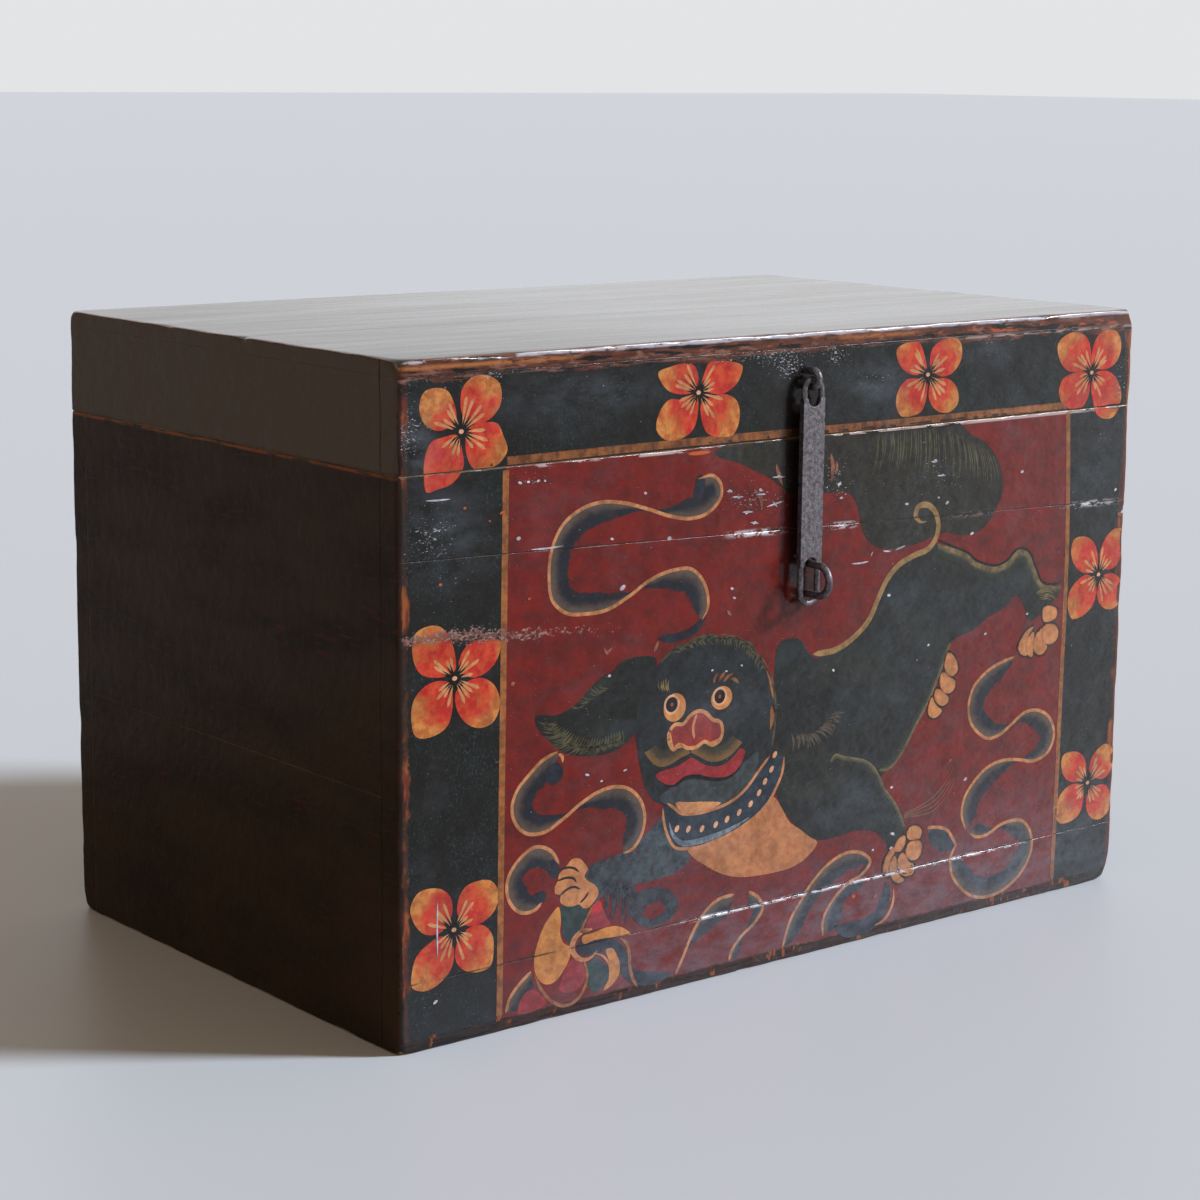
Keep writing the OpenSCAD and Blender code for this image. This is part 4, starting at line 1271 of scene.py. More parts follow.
def paint_flower(name, centre, petals, seed):
    """Four petals, with ochre stamens, a dark heart and a pale dot."""
    pick = random.Random(seed)
    for body in ("lid", "carcass"):
        rings = [curve(petal, closed=True) for petal in petals]
        if all(len(clip(ring, body == "lid")) < 3 for ring in rings):
            continue
        coat = Coat(2, body)
        for ring, gain in zip(rings, PETAL_OCHRE[name]):
            coat.area(ring, centre, gain)
        coat.build(f"{name}_petals_{body}", "petal")
    body = "lid" if centre[1] > SEAM_Z else "carcass"
    stamens, heart = Coat(3, body), Coat(4, body)
    for petal in petals:
        middle = np.mean(petal, axis=0) - centre
        aim = math.atan2(middle[1], middle[0])
        for k in range(STAMENS):
            turn = aim + (k - (STAMENS - 1) / 2) * STAMEN_TURN + pick.uniform(-STAMEN_WANDER, STAMEN_WANDER)
            way = np.array([math.cos(turn), math.sin(turn)])
            reach = pick.uniform(12, 21)
            points = [centre + way * 4, centre + way * reach * 0.6, centre + way * reach]
            stamens.stroke(points, STAMEN_WIDTH, 0.7, 0.08)
            dark = np.array([math.cos(turn + HEART_TURN), math.sin(turn + HEART_TURN)])
            points = [centre + dark * 3, centre + dark * 6, centre + dark * pick.uniform(8, 11)]
            heart.stroke(points, HEART_WIDTH, 0.1, 0.7)
    stamens.build(f"{name}_stamens", "ochre_pale")
    heart.area(spiky_ring(centre, HEART_RADIUS, HEART_SPIKES))
    heart.build(f"{name}_heart", "pupil_black")
    dot = Coat(5, body)
    dot.area(ellipse(centre, 3.4, 2.6))
    dot.build(f"{name}_dot", "dot_pale")


def paint_borders():
    """Ochre lines round the field and along the lid's lower edge, and the eight flowers."""
    paint_strokes("border_lines", 2, "ochre_line", [(LEFT_LINE, 4.4, 0, 0.01), (RIGHT_LINE, 4.0, 0, 0.01)])
    paint_strokes("lid_band", 1, "band_ochre", [(LID_BAND, 4.8, 0, 0)], "lid")
    paint_strokes("lid_band_bright", 2, "ochre_line", [(LID_BAND_BRIGHT, 3.4, 0.3, 0.05)], "lid")
    for seed, (name, (centre, petals)) in enumerate(FLOWERS.items()):
        paint_flower(name, np.array(centre), petals, seed)


# Ribbons

RIBBONS = {
    "ribbon_upper_left": [
        [(-85, 316), (-73, 317), (-66.5, 311), (-66, 305), (-76, 295), (-90, 292.5), (-105, 295), (-123, 301),
         (-142, 306.5), (-160, 308.5), (-175, 305.5), (-188, 297.5), (-195, 286), (-197.7, 268), (-195, 254),
         (-186, 246), (-170, 243.3), (-154, 244), (-138, 250), (-120, 258.8), (-103, 262.4), (-89, 261.5),
         (-80, 254), (-75.5, 244), (-75.5, 236), (-80, 229)]],
    "ribbon_middle_left": [
        [(-190, 163.5), (-201, 160), (-212, 152), (-220, 144.5), (-223.8, 134), (-221, 124.5),
         (-213, 117.5), (-201, 116), (-185, 122.4), (-172, 129.5), (-160, 134), (-146, 135.4),
         (-135.5, 132.3), (-127, 124.5), (-123, 113), (-125.5, 102.5), (-132.4, 94.8), (-140, 93)],
        [(-188.5, 94.8), (-195, 104), (-206.5, 108.2), (-218, 103), (-227, 91), (-226, 79.5), (-217, 70.2),
         (-206, 70.2), (-201.3, 73.8)]],
    "ribbon_right": [
        [(198.6, 172), (185, 169.5), (172, 165), (160, 156), (156, 146), (158.5, 132), (166, 124),
         (176, 118.8), (187, 120), (199, 126), (211, 132), (224, 131.5), (236, 124.5), (240.9, 111),
         (236, 101.5), (222, 96.7), (206, 99.8), (191, 101.5), (176, 98.8), (164, 91.5), (154.5, 80.5),
         (152.6, 70), (157.2, 58.4)],
        [(160.8, 55.8), (167, 52.3), (178, 52), (190, 56.6), (201.3, 57.9), (211.6, 56.3), (219.5, 49),
         (222.9, 37), (218, 25), (206, 14.5), (191, 9.1), (175, 8.6), (162, 13), (151, 22), (145, 30),
         (142.8, 41.4)],
        [(120.2, 66.1), (130, 65), (139, 61.5), (146.9, 51.7), (149, 48.6)]],
    "ribbon_bottom": [
        [(-228, 10.6), (-225, 19), (-217.8, 26.5), (-209, 32.7)],
        [(-97, 8.1), (-90, 20), (-84, 31.2), (-75, 42.5), (-64, 49.6), (-49.3, 51.2)],
        [(-37, 50.7), (-28, 44.5), (-25.1, 38), (-31, 30), (-43, 22.5), (-51.3, 13.7), (-52.9, 8.6)],
        [(-7.7, 7.6), (-1, 25.5), (8, 37), (20.6, 49.7), (35, 58.5), (50.4, 61.5), (61, 59), (68.9, 51.7),
         (64, 46), (48, 40.2), (34, 30.1), (27.5, 20), (27.8, 9.1)]],
}
RIBBON_BREADTH = 15.0
FULL_BEND = 0.012
TWIST_REACH = 36.0
BEND_SMOOTH = 11.0
BREADTH_SMOOTH = 6.0
SHARE_OF_RADIUS = 0.9
END_SHARE = 0.35
END_REACH = 9.0
HOOKS = [
    ([(-83, 319), (-83.5, 311), (-87, 303)], 7.5), ([(-77, 231), (-86, 224), (-99, 221), (-115, 222)], 5.5),
    ([(-186, 152), (-192, 150.5), (-199, 147)], 12), ([(-208, 76), (-198, 77.5)], 7.5),
    ([(-190, 87), (-193.5, 93), (-197, 98)], 8.5), ([(63, 39), (52, 35), (44, 28), (38, 20), (35, 11)], 11),
    ([(38, 14), (48, 9.5), (60, 9), (72, 11), (80, 18), (84, 27), (84, 36)], 10.5),
    ([(122, 62), (132, 60.5), (140, 55), (146, 46)], 7),
]
HOOK_EDGES = [
    [(148.5, 50), (145.5, 46), (143, 41)], [(90.6, 30), (90.8, 22), (87.6, 14.5), (82, 9.6), (74, 7.6)],
    [(-190, 162), (-187, 160), (-186.5, 156)],
]
HOOK_CORES = [[(44, 27), (50, 32), (60, 35), (70, 34), (77, 28), (76, 20), (68, 15), (56, 14.5), (47, 18)],
              [(-216, 90), (-211, 95), (-203, 95), (-197, 91), (-195, 85), (-202, 82.5), (-211, 84)]]


def ribbon_breadth(line):
    """Breadth of a ribbon along its edge: on the inside of each bend, and none where it twists."""
    side = sideways(line)
    turn = np.cross(side[:-1], side[1:])
    length = np.maximum(np.linalg.norm(np.diff(line, axis=0), axis=1), 0.2)
    place = np.concatenate([[0], np.cumsum(length)])
    bend = smoothed(np.append(turn / length, 0)[:-1], (place[1:] + place[:-1]) / 2, BEND_SMOOTH)
    bend = np.interp(place, (place[1:] + place[:-1]) / 2, bend)
    bent = np.maximum(np.abs(bend), 1e-3)
    breadth = np.minimum(RIBBON_BREADTH * np.tanh(bent / FULL_BEND), SHARE_OF_RADIUS / bent)
    for twist in place[1:][bend[1:] * bend[:-1] < 0]:
        breadth *= np.sin(np.pi / 2 * np.minimum(np.abs(place - twist) / TWIST_REACH, 1))
    from_end = np.minimum(place, place[-1] - place)
    ends = np.clip(END_SHARE + from_end / END_REACH, 0, 1)
    return smoothed(np.sign(bend) * breadth, place, BREADTH_SMOOTH) * ends


def paint_ribbon(name, runs):
    """Ribbons with an ochre edge, beside which they pass from grey into blue black."""
    band, edge = Coat(1), Coat(2)
    for points in runs:
        line = curve(points)
        band.shade(line, ribbon_breadth(line))
        edge.stroke(points, 2.2, 0.03, 0.03)
    band.build(f"{name}_band", "ribbon")
    edge.build(f"{name}_edge", "ribbon_line")


def paint_hooks():
    """Dark ends and rings that the ribbons curl into."""
    paint_strokes("ribbon_hooks", 1.5, "hook_dark", [(points, width, 0.2, 0.2) for points, width in HOOKS])
    paint_areas("ribbon_hook_cores", 2, "field_red", HOOK_CORES)
    paint_strokes("ribbon_hook_edges", 2.5, "ribbon_line", [(points, 2.4, 0.3, 0.3) for points in HOOK_EDGES])


# Ball with its ribbons

BALL_EDGE = [(-207, 31), (-201, 19), (-193, 10.6), (-184.9, 6.5), (-176.7, 7), (-170.5, 11.7), (-166.9, 19),
             (-167.5, 27), (-171, 33)]
BALL_SEGMENT = [(-189, 68.6), (-187, 60), (-187.5, 51.7), (-184.9, 45.5), (-179.3, 41.4), (-180.3, 35.3),
                (-186, 27), (-192, 22.4), (-198.2, 22.4), (-204, 27), (-207, 35.3), (-206.5, 42.5),
                (-204, 50), (-200.3, 58), (-195.2, 64)]
BALL_RED = [(-178.2, 34.2), (-171.6, 31.2), (-168, 26), (-168.5, 20), (-173.6, 14.7), (-180.8, 13.7),
            (-188, 16.8), (-186, 24)]
BALL_GREEN = [(-187, 69.2), (-167.5, 66), (-170.5, 49.7), (-179.8, 44.5), (-185, 49.7), (-186.4, 60)]
BALL_BLOB = [(-166.4, 29), (-160.3, 31.7), (-155, 28), (-149.5, 22), (-150, 15.8), (-154, 12.7),
             (-160.3, 9.6), (-166.4, 17)]
BALL_PINK = [(-169, 50.5), (-165.5, 58), (-162, 65), (-158, 66.5), (-155, 62), (-151.5, 55), (-148.5, 50.5),
             (-158, 49.5)]
BALL_BAND = [(-171, 46), (-162, 47.6), (-152, 49), (-143, 48), (-137, 45), (-133, 41.5), (-141, 41.4),
             (-152, 42.4), (-162, 42.8), (-170, 42.4)]
BALL_LEAF = [(-152, 35.3), (-147.8, 35.3), (-143.7, 30), (-141.2, 23), (-142.2, 16.8), (-146.8, 12.2),
             (-154, 9.6), (-150, 16), (-147.8, 21), (-150, 28)]
RING_LINE = [(-141.7, 40.4), (-136.5, 36.3), (-134, 29), (-133.5, 21), (-131, 12.7), (-127.3, 6.5)]
RING_DARK = [(-175, 41), (-165, 39), (-155, 38.4), (-147, 36), (-141, 30), (-137.5, 22), (-132, 15),
             (-124, 11.5), (-112, 9.5), (-100, 9.6)]
LOOP_CORE = [(-219, 9), (-213.7, 20), (-209.5, 21.4), (-201.3, 16.8), (-197.2, 11), (-205, 8)]
PINK_TOP = [(-164, 61), (-161, 66), (-158, 67), (-155.5, 63), (-157, 59.5), (-161, 58.5)]
HUB_CURL = [(-163, 50), (-171, 50), (-176.5, 46.5), (-178.4, 41), (-175.5, 35.4), (-169.5, 32), (-162.5, 33),
            (-159, 36)]
LEAF_EDGE = [(-162, 35), (-154, 31), (-149, 23), (-150, 14)]
PINK_EDGE = [(-162, 65.5), (-167, 58), (-170.5, 51), (-165, 48.6)]


def paint_ball():
    """Ball of gold, red, pink and grey fields, with the ribbon and lines round it."""
    paint_areas("ball_gold", 2, "ball_gold", [BALL_SEGMENT, BALL_LEAF, BALL_BAND])
    paint_areas("ball_red", 2, "core_red", [BALL_RED, LOOP_CORE])
    paint_areas("ball_pink", 2, "ball_pink", [BALL_PINK])
    paint_areas("ball_grey", 1.5, "ball_grey", [BALL_GREEN, BALL_BLOB])
    paint_strokes("ball_ribbon", 1.5, "hook_dark", [(RING_DARK, 9.0, 0.1, 0.2)])
    paint_strokes("ball_lines", 3, "ochre_line", [(BALL_EDGE, 2.2), (RING_LINE, 2.4), (PINK_EDGE, 1.8)])
    paint_strokes("ball_curl", 3, "ribbon_line", [(HUB_CURL, 4.0, 0.3, 0.4), (LEAF_EDGE, 1.6, 0.3, 0.3)])
    paint_areas("ball_pink_top", 3, "vivid_pink", [PINK_TOP])


# Lion

TAIL_EDGE = [(-72, 331), (-50, 322), (-26, 311), (-10, 301), (25, 298), (40, 297), (47, 290), (50, 283),
             (54, 270), (62, 262), (74, 257.5), (90, 257), (108, 259), (123, 263), (150, 259.4), (163, 262),
             (175, 274), (181, 285), (179, 299), (169.5, 314), (160, 321), (150, 325.5), (138, 334),
             (100, 336), (0, 336), (-60, 336)]
BODY_EDGE = [(-14, 208), (0, 208), (14, 194.5), (32.4, 197), (48.7, 203.4), (61, 212.7), (69, 225.7),
             (77, 238), (87, 246), (101.4, 251), (121, 256), (134, 251), (150, 244.6), (166, 236),
             (178.7, 233.8), (188, 236), (200, 243), (206.5, 241), (213, 231), (221, 219), (234, 214),
             (235, 206), (226, 200), (215, 195), (211.6, 194.3), (207.5, 202.5), (199.3, 213.3),
             (184, 205.6), (170.5, 201.5), (160, 195.8), (137, 188.5), (128.4, 171.7), (117.2, 151.2),
             (104.8, 134.7), (94.6, 120.4), (86.4, 113.2), (76, 107), (88.4, 89.7), (94.6, 80.4),
             (99.7, 70.2), (97, 60), (86, 54), (83.3, 61), (78, 67), (69.9, 72.2), (57.6, 74.8), (37, 73.8),
             (21.7, 74.3), (6, 83.5), (-10, 100), (-18, 118), (-22, 150), (-20, 180)]
LEG_EDGE = [(-104, 119), (-113, 108), (-124, 101), (-136, 95), (-152, 92), (-166, 89), (-170, 76), (-165, 66),
            (-147.8, 73), (-133.5, 72.3), (-110, 72.2), (-96.5, 74.3), (-86, 81), (-92, 88), (-100, 97)]
CURL_EDGE = [(-135.5, 61), (-128, 66), (-118, 68), (-107.8, 66), (-98.6, 60), (-94.5, 51.7), (-100.6, 45.5),
             (-111, 42.5), (-121, 43.5), (-131, 50)]
CURL_CORE = [(-124.5, 52), (-121, 56), (-114, 57.4), (-108, 55.6), (-105.5, 51.6), (-110, 48.8), (-119, 48.4)]
EAR_EDGE = [(-207.5, 186), (-191, 185.6), (-181, 188), (-172.6, 193), (-165, 199.4), (-157, 204.3),
            (-150, 206), (-143.7, 210.7), (-130.4, 212.8), (-116, 210), (-122, 190), (-130, 168),
            (-143.7, 158.4), (-165, 157), (-186, 162.5), (-198, 172), (-205, 179)]
HEAD_EDGE = [(-113, 206.6), (-105.7, 211.7), (-98.6, 215), (-92.4, 215.5), (-80, 219), (-70, 218.4),
             (-63.6, 215.5), (-55.4, 216), (-48, 213), (-40, 209.7), (-35, 203), (-28.7, 196), (-22, 186),
             (-18.5, 172), (-18, 158), (-20, 142), (-29, 128), (-42, 118), (-59.5, 110.5), (-78, 108),
             (-94.5, 110.7), (-108, 118), (-116, 122), (-122, 129.6), (-126, 140), (-129, 153),
             (-131.4, 168), (-128, 188), (-120, 201)]
SPINE = [(13, 196.5), (32.4, 197), (48.7, 203.4), (61, 212.7), (69, 225.7), (77, 238), (87, 246),
         (101.4, 251), (113.5, 254), (119.6, 260), (121.6, 268), (117.6, 278.4), (109.5, 283), (102.6, 282),
         (100.5, 277), (105.4, 272), (111, 272)]
BACK_LINE = [(121.6, 256), (134, 251), (150, 244.6), (156.2, 240), (166.4, 235.9), (178.7, 233.8),
             (188, 235.9), (200.3, 243.1), (206.5, 241), (213.7, 230.2), (220.8, 219), (236, 215),
             (242, 216)]
THIGH_LINE = [(136.7, 189), (128.4, 171.7), (117.2, 151.2), (104.8, 134.7), (94.6, 120.4), (86.4, 113.2),
              (80.2, 111), (74, 112.2)]
FORELEG_LINE = [(29.9, 124.6), (35, 128.7), (40.2, 126.7), (51.4, 123.6), (61.7, 120.5), (68, 116.4),
                (74, 109.2), (79.2, 100), (88.4, 89.7), (94.6, 80.4), (99.7, 70.2)]


def paint_body():
    """Lion's body with its tail, forelegs, spine and outlines."""
    paint_areas("lion_body", 1, "lion_black", [BODY_EDGE, EAR_EDGE])
    paint_areas("lion_tail", 1, "tail_olive", [TAIL_EDGE])
    paint_areas("lion_foreleg", 1.5, "leg_grey", [LEG_EDGE])
    paint_areas("lion_curl", 2, "curl_grey", [CURL_EDGE])
    paint_areas("lion_curl_core", 2.5, "field_red", [CURL_CORE])
    paint_shades("lion_glow", 1.5, "lion_glow", [(BACK_LINE, -8), (THIGH_LINE, -5), (FORELEG_LINE, -6)])
    paint_strokes("lion_spine", 2.5, "spine_olive", [(SPINE, 4.0, 0.03, 0.1)])
    paint_strokes("lion_outlines", 2.5, "ochre_hair", [
        (BACK_LINE, 3.2, 0.1, 0.2), (THIGH_LINE, 1.1, 0.1, 0.2), (FORELEG_LINE, 1.1, 0.1, 0.2)])
    rim = Coat(2.5)
    rim.strip(curve(BACK_LINE), 3.4, 1.8)
    rim.build("lion_back_rim", "pupil_black")


def paint_hair():
    """Hair of the head, ears, tail, chest and legs, in five paints."""
    ochre = Coat(3)
    ochre.comb([(215, 214), (222, 208)], [(242, 216), (238, 204)], 8, 1.2, 2)
    ochre.build("lion_hair_ochre", "ochre_hair")
    dull = Coat(3)
    dull.comb([(-4, 148), (14, 146), (30, 154)], [(-3, 136), (14, 134), (35, 144), (45, 157)], 17, 2.3, 1)
    dull.build("lion_hair_dull", "dull_hair")
    faint = Coat(3)
    for shift in (0, 4, 8, 12):
        faint.stroke([(97, 77 + shift * 0.2), (112, 76 + shift * 0.5), (125, 77 + shift * 0.8),
                      (138, 86 + shift * 0.9), (147, 98 + shift)], 1.2, 0.1, 0.5)
    faint.build("lion_hair_faint", "faint_hair")
    olive = Coat(3)
    olive.comb([(-100, 211), (-78, 213), (-46, 205), (-32, 191)],
               [(-103, 217), (-81, 219.5), (-38, 209), (-25, 192)], 36, 1.6, 10, 0.5)
    olive.comb([(-192, 181), (-176, 172), (-160, 168), (-142, 170)],
               [(-207, 184), (-196, 168), (-168, 156), (-142, 158)], 46, 1.2, 3)
    olive.comb([(-172, 188), (-150, 197)], [(-184, 189), (-160, 203)], 12, 1.0, 4)
    olive.comb([(62, 333), (120, 333), (168, 314)], [(58, 306), (120, 300), (178, 288)], 48, 0.9, 5, 0.06)
    olive.comb([(-190, 168), (-170, 163), (-148, 163)], [(-176, 162), (-156, 158), (-138, 160)], 22, 1.2, 13)
    olive.build("lion_hair_olive", "olive_hair")
    grey = Coat(2)
    grey.comb([(-161, 82), (-134, 76)], [(-151, 50), (-134, 48)], 10, 3.6, 9, 0.2)
    grey.build("lion_leg_hair", "curl_grey")


COLLAR_OUTER = [(-109, 116.4), (-107.8, 107), (-104.7, 98), (-98.6, 89.7), (-90.3, 87.6), (-78, 87),
                (-65.7, 88.7), (-53.4, 91.2), (-41, 95.3), (-30.8, 100), (-21.6, 107), (-15.4, 115.4),
                (-10.8, 124.6), (-9.7, 134)]
COLLAR_INNER = [(-22, 136), (-31, 127.7), (-40, 119), (-49.3, 113.3), (-59.5, 110.2), (-72, 108.7),
                (-84.2, 108.7), (-94.5, 110.7), (-100.6, 115.4), (-106, 119)]
COLLAR_LENS = [(-99, 117.6), (-86.2, 116.4), (-74, 114.8), (-62, 112), (-72, 109), (-84, 109), (-94, 111.4)]
COLLAR_SHINE = [(-104, 107), (-100, 97), (-94, 92), (-80, 90.6), (-66, 91.8), (-52, 94.6), (-38, 99)]
COLLAR_DOTS = [(-97.5, 101.5), (-88.3, 99.7), (-77.2, 98.1), (-66, 98.9), (-56.7, 100.8), (-46.7, 103.6),
               (-37.2, 107.5), (-30.3, 113.6), (-25.5, 120.2), (-20.2, 127.2), (-17.7, 136.2)]
BIB_EDGE = [(-89, 87), (-82, 79.4), (-74, 74.3), (-63.7, 68), (-45, 61.5), (-30.8, 59.9), (-15.4, 59.4),
            (0, 60.4), (12.4, 65), (20.6, 73.3), (14.5, 77.4), (6.3, 83.5), (-4, 90.7), (-10.3, 100),
            (-18.5, 109.2), (-30.8, 101), (-53.4, 92), (-78, 88)]


def paint_collar():
    """Studded blue collar and the ochre bib below it."""
    blue = Coat(2.5)
    blue.area(np.vstack([curve(COLLAR_OUTER), curve(COLLAR_INNER)]))
    blue.build("collar", "collar_blue")
    paint_areas("bib", 2, "bib_ochre", [BIB_EDGE])
    paint_strokes("collar_edges", 3, "ribbon_line", [
        (COLLAR_OUTER, 2.0, 0.05, 0.05), (COLLAR_INNER, 2.0, 0.05, 0.05)])
    paint_strokes("collar_highlights", 3, "collar_pale", [(COLLAR_SHINE, 3.8, 0.3, 0.4)])
    paint_areas("collar_lens", 3, "ochre_pale", [COLLAR_LENS])
    dots = Coat(4)
    for place in COLLAR_DOTS:
        dots.area(ellipse(place, 3.2, 4.8, -35, 12))
    dots.build("collar_dots", "dot_pale")


EYES = [((-100.7, 177.8), 17.7, 17.6, (-103.1, 179.9), 9.4), ((-63, 178.7), 17.2, 14.7, (-64.6, 179.8), 8.8)]
NOSE_EDGE = [(-104.7, 163), (-100.6, 167), (-93.4, 166.6), (-88.3, 171), (-82, 173), (-75, 170.7), (-70, 166),
             (-63.6, 163.5), (-61.6, 158), (-64.5, 151.5), (-70, 150), (-76, 153), (-83, 150.5), (-90, 151),
             (-96.5, 154), (-101, 151.5), (-104.5, 156)]
LIP_EDGE = [(-115, 138), (-109, 139.6), (-99.6, 140.4), (-92.4, 142.4), (-87, 144.5), (-82, 142), (-75, 138),
            (-66.7, 136), (-57.5, 137), (-51, 141), (-46, 144.5), (-42.6, 142), (-44, 138), (-48, 132.5),
            (-55, 128.7), (-63, 128.5), (-72, 130.2), (-82, 133.3), (-90.3, 133.8), (-100.6, 129.7),
            (-108.8, 131.8)]
MUZZLE_EDGES = [[(-124, 153), (-119, 147), (-112.5, 142.6), (-104, 142.6), (-95, 145.6), (-87.5, 147.4)],
                [(-87.5, 148), (-81, 144.5), (-72.5, 140), (-62.5, 139), (-54, 141.6), (-45, 148)]]
CHIN_EDGE = [(-112, 123), (-104, 127.5), (-94, 130.5), (-82, 130), (-72, 127.6), (-60, 126), (-50, 129),
             (-42, 136), (-32, 140), (-34, 126), (-44, 117.5), (-59.5, 111.6), (-78, 109.4), (-94.5, 112),
             (-106, 117.5)]
LIP_SHADOW = [(-109, 131), (-101, 128.8), (-91, 132.6), (-82, 132.2), (-72, 129), (-63, 127.3), (-55, 127.6),
              (-47, 131.5)]


def paint_head():
    """Head with its olive curls, chin and muzzle."""
    paint_areas("lion_head", 2, "face_grey", [HEAD_EDGE])
    paint_areas("lion_chin", 2.5, "face_low", [CHIN_EDGE])
    curls = [(HEAD_EDGE[k:k + 3], 1.8, 0.3, 0.3) for k in range(14)]
    paint_strokes("lion_curls", 3, "olive_hair", curls)
    paint_strokes("lion_cheek_edge", 3, "ochre_line", [
        ([(-30, 200), (-24, 188), (-20, 172)], 2.2, 0.3, 0.3),
        ([(-21.5, 168), (-20.5, 160), (-22, 152)], 3.2, 0.3, 0.4)])
    paint_shades("lion_muzzle", 3, "muzzle", [(edge, 11.0) for edge in MUZZLE_EDGES])


def paint_eyes():
    """Eyes with their rings, pupils and irises, and the hair of both brows."""
    whites, rings, pupils, irises = Coat(4), Coat(4.5), Coat(5), Coat(6)
    for centre, across, high, pupil, size in EYES:
        whites.area(ellipse(centre, across, high, parts=28))
        rings.area(ellipse(pupil, size + 3.2, size + 3.0))
        pupils.area(ellipse(pupil, size, size))
        irises.area(ellipse(pupil, 2.4, 2.4, parts=12))
    whites.build("lion_eyes", "eye_ochre")
    rings.build("lion_eye_rings", "dot_pale")
    pupils.build("lion_pupils", "pupil_black")
    irises.build("lion_irises", "chip_orange")
    brows = [[(-70, 188.5), (-68.5, 192), (-66, 195)], [(-62, 188.5), (-58, 191.4), (-54, 193)],
             [(-66, 189), (-63, 192.5), (-60, 195)], [(-56, 190), (-52, 188.6), (-49, 186)]]
    paint_strokes("lion_brow_right", 4, "band_ochre", [(points, 2.2, 0.3, 0.4) for points in brows])
    dull = Coat(4)
    dull.comb([(-112, 189), (-103, 187.5)], [(-114, 197), (-104, 197)], 6, 1.7, 12)
    dull.build("lion_brow_left", "ochre_hair")


def paint_mouth():
    """Nose, lips and their outlines."""
    paint_areas("lion_nose", 4, "nose_red", [NOSE_EDGE])
    paint_areas("lion_lips", 4, "lip_red", [LIP_EDGE])
    paint_strokes("lion_lip_shadow", 5, "pupil_black", [(LIP_SHADOW, 2.2, 0.2, 0.2)])
    lines = Coat(5)
    lines.ring(NOSE_EDGE, 2.4)
    lines.stroke([(-83, 171.4), (-85.6, 164), (-84.6, 155.8)], 2.0)
    for points in ([(-104, 163), (-104.4, 158), (-101, 152.5)], [(-101, 151.8), (-97, 153.6), (-93, 152)],
                   [(-72, 151.6), (-67, 151), (-63.5, 154)]):
        lines.stroke(points, 3.6, 0.4, 0.4)
    lines.build("lion_nose_lines", "ochre_pale")


CLAWS = [
    [(101.8, 67), (104.8, 69.2), (111, 68.6), (115, 65), (114, 60.9), (108, 60.4), (102.8, 62)],
    [(101.2, 54.8), (103.8, 58.4), (110, 59), (115, 56.8), (115.6, 51.7), (112, 46.6), (107, 46.6),
     (102.8, 49.7)],
    [(94.6, 49.7), (97.6, 52.7), (101, 50.7), (104, 45.5), (109, 42.5), (108, 37.3), (102.8, 36.5),
     (97.6, 38.4), (94.6, 43.5)],
    [(87.4, 48.6), (90.5, 51.7), (94.6, 39.4), (99.7, 33.7), (94.6, 33.2), (89.4, 37.3), (87, 43.5)],
    [(81.2, 47.6), (84.3, 53.8), (89.4, 57.9), (90.5, 54.8), (87.4, 50.7), (85.8, 44.5), (85.3, 39),
     (82.2, 41.4)],
    [(90.5, 55.8), (94.6, 63), (99.7, 64), (99.7, 59), (96.6, 54.8)],
    [(226, 202.5), (232, 202.5), (238.3, 199.4), (237.8, 194.3), (234.2, 192.8), (226, 193.3)],
    [(226, 189.2), (232, 190.2), (238.3, 188), (240.6, 182), (237.3, 177.4), (232, 176.6), (227, 179),
     (224.4, 184)],
    [(220.8, 186), (223.9, 188), (225, 180), (230, 174.8), (226, 170.7), (220.8, 171.2), (217.2, 174.8),
     (217.2, 181)],
    [(211.6, 184), (215.7, 186.6), (216.2, 175.8), (215.7, 169.7), (211.6, 171.7), (209.5, 178)],
    [(201.8, 178), (205.4, 184), (211.6, 189.2), (215.7, 190.2), (211, 185), (209, 179), (210.6, 171.7),
     (205.4, 172.7)],
    [(134.6, 182.5), (138.7, 180.4), (142.8, 174.8), (143.8, 169.7), (139.7, 166.6), (134.6, 168.6),
     (132, 173.8), (132.6, 179)],
    [(129.5, 169.7), (137.7, 165), (141.8, 162.5), (141.8, 158.4), (137.7, 155.3), (132.6, 156.3),
     (128, 162.5)],
    [(125, 159.4), (129.5, 157.3), (133.6, 154.3), (136.7, 151.2), (132.6, 147.6), (127.4, 149),
     (123.3, 154.3)],
    [(121.3, 154.3), (118.2, 148), (118.7, 143), (123.3, 140.4), (128.4, 141.9), (130.5, 144), (126.4, 147),
     (122.8, 151.2)],
]
LEFT_PAW = [(-183, 93), (-180, 95.8), (-173, 95.5), (-169.5, 92), (-167, 88.5), (-169.5, 84), (-165, 79.5),
            (-161, 77), (-158.5, 71), (-162, 67), (-166, 64), (-170.6, 64.5), (-173, 67.2), (-178, 67),
            (-184, 68.3), (-188, 72), (-187.5, 75.5), (-191.5, 77), (-192, 81), (-189.5, 85), (-188.5, 89),
            (-186, 90.5)]
LEFT_TOES = [
    [(-188, 91.2), (-181, 91.5), (-176, 89.5), (-173.4, 87)],
    [(-190.5, 84.8), (-182, 85.4), (-177.5, 84), (-175.4, 81)],
    [(-188.5, 75), (-183, 78.2), (-178, 79), (-172, 76.4)], [(-173, 68), (-168.5, 71), (-166, 74)],
]


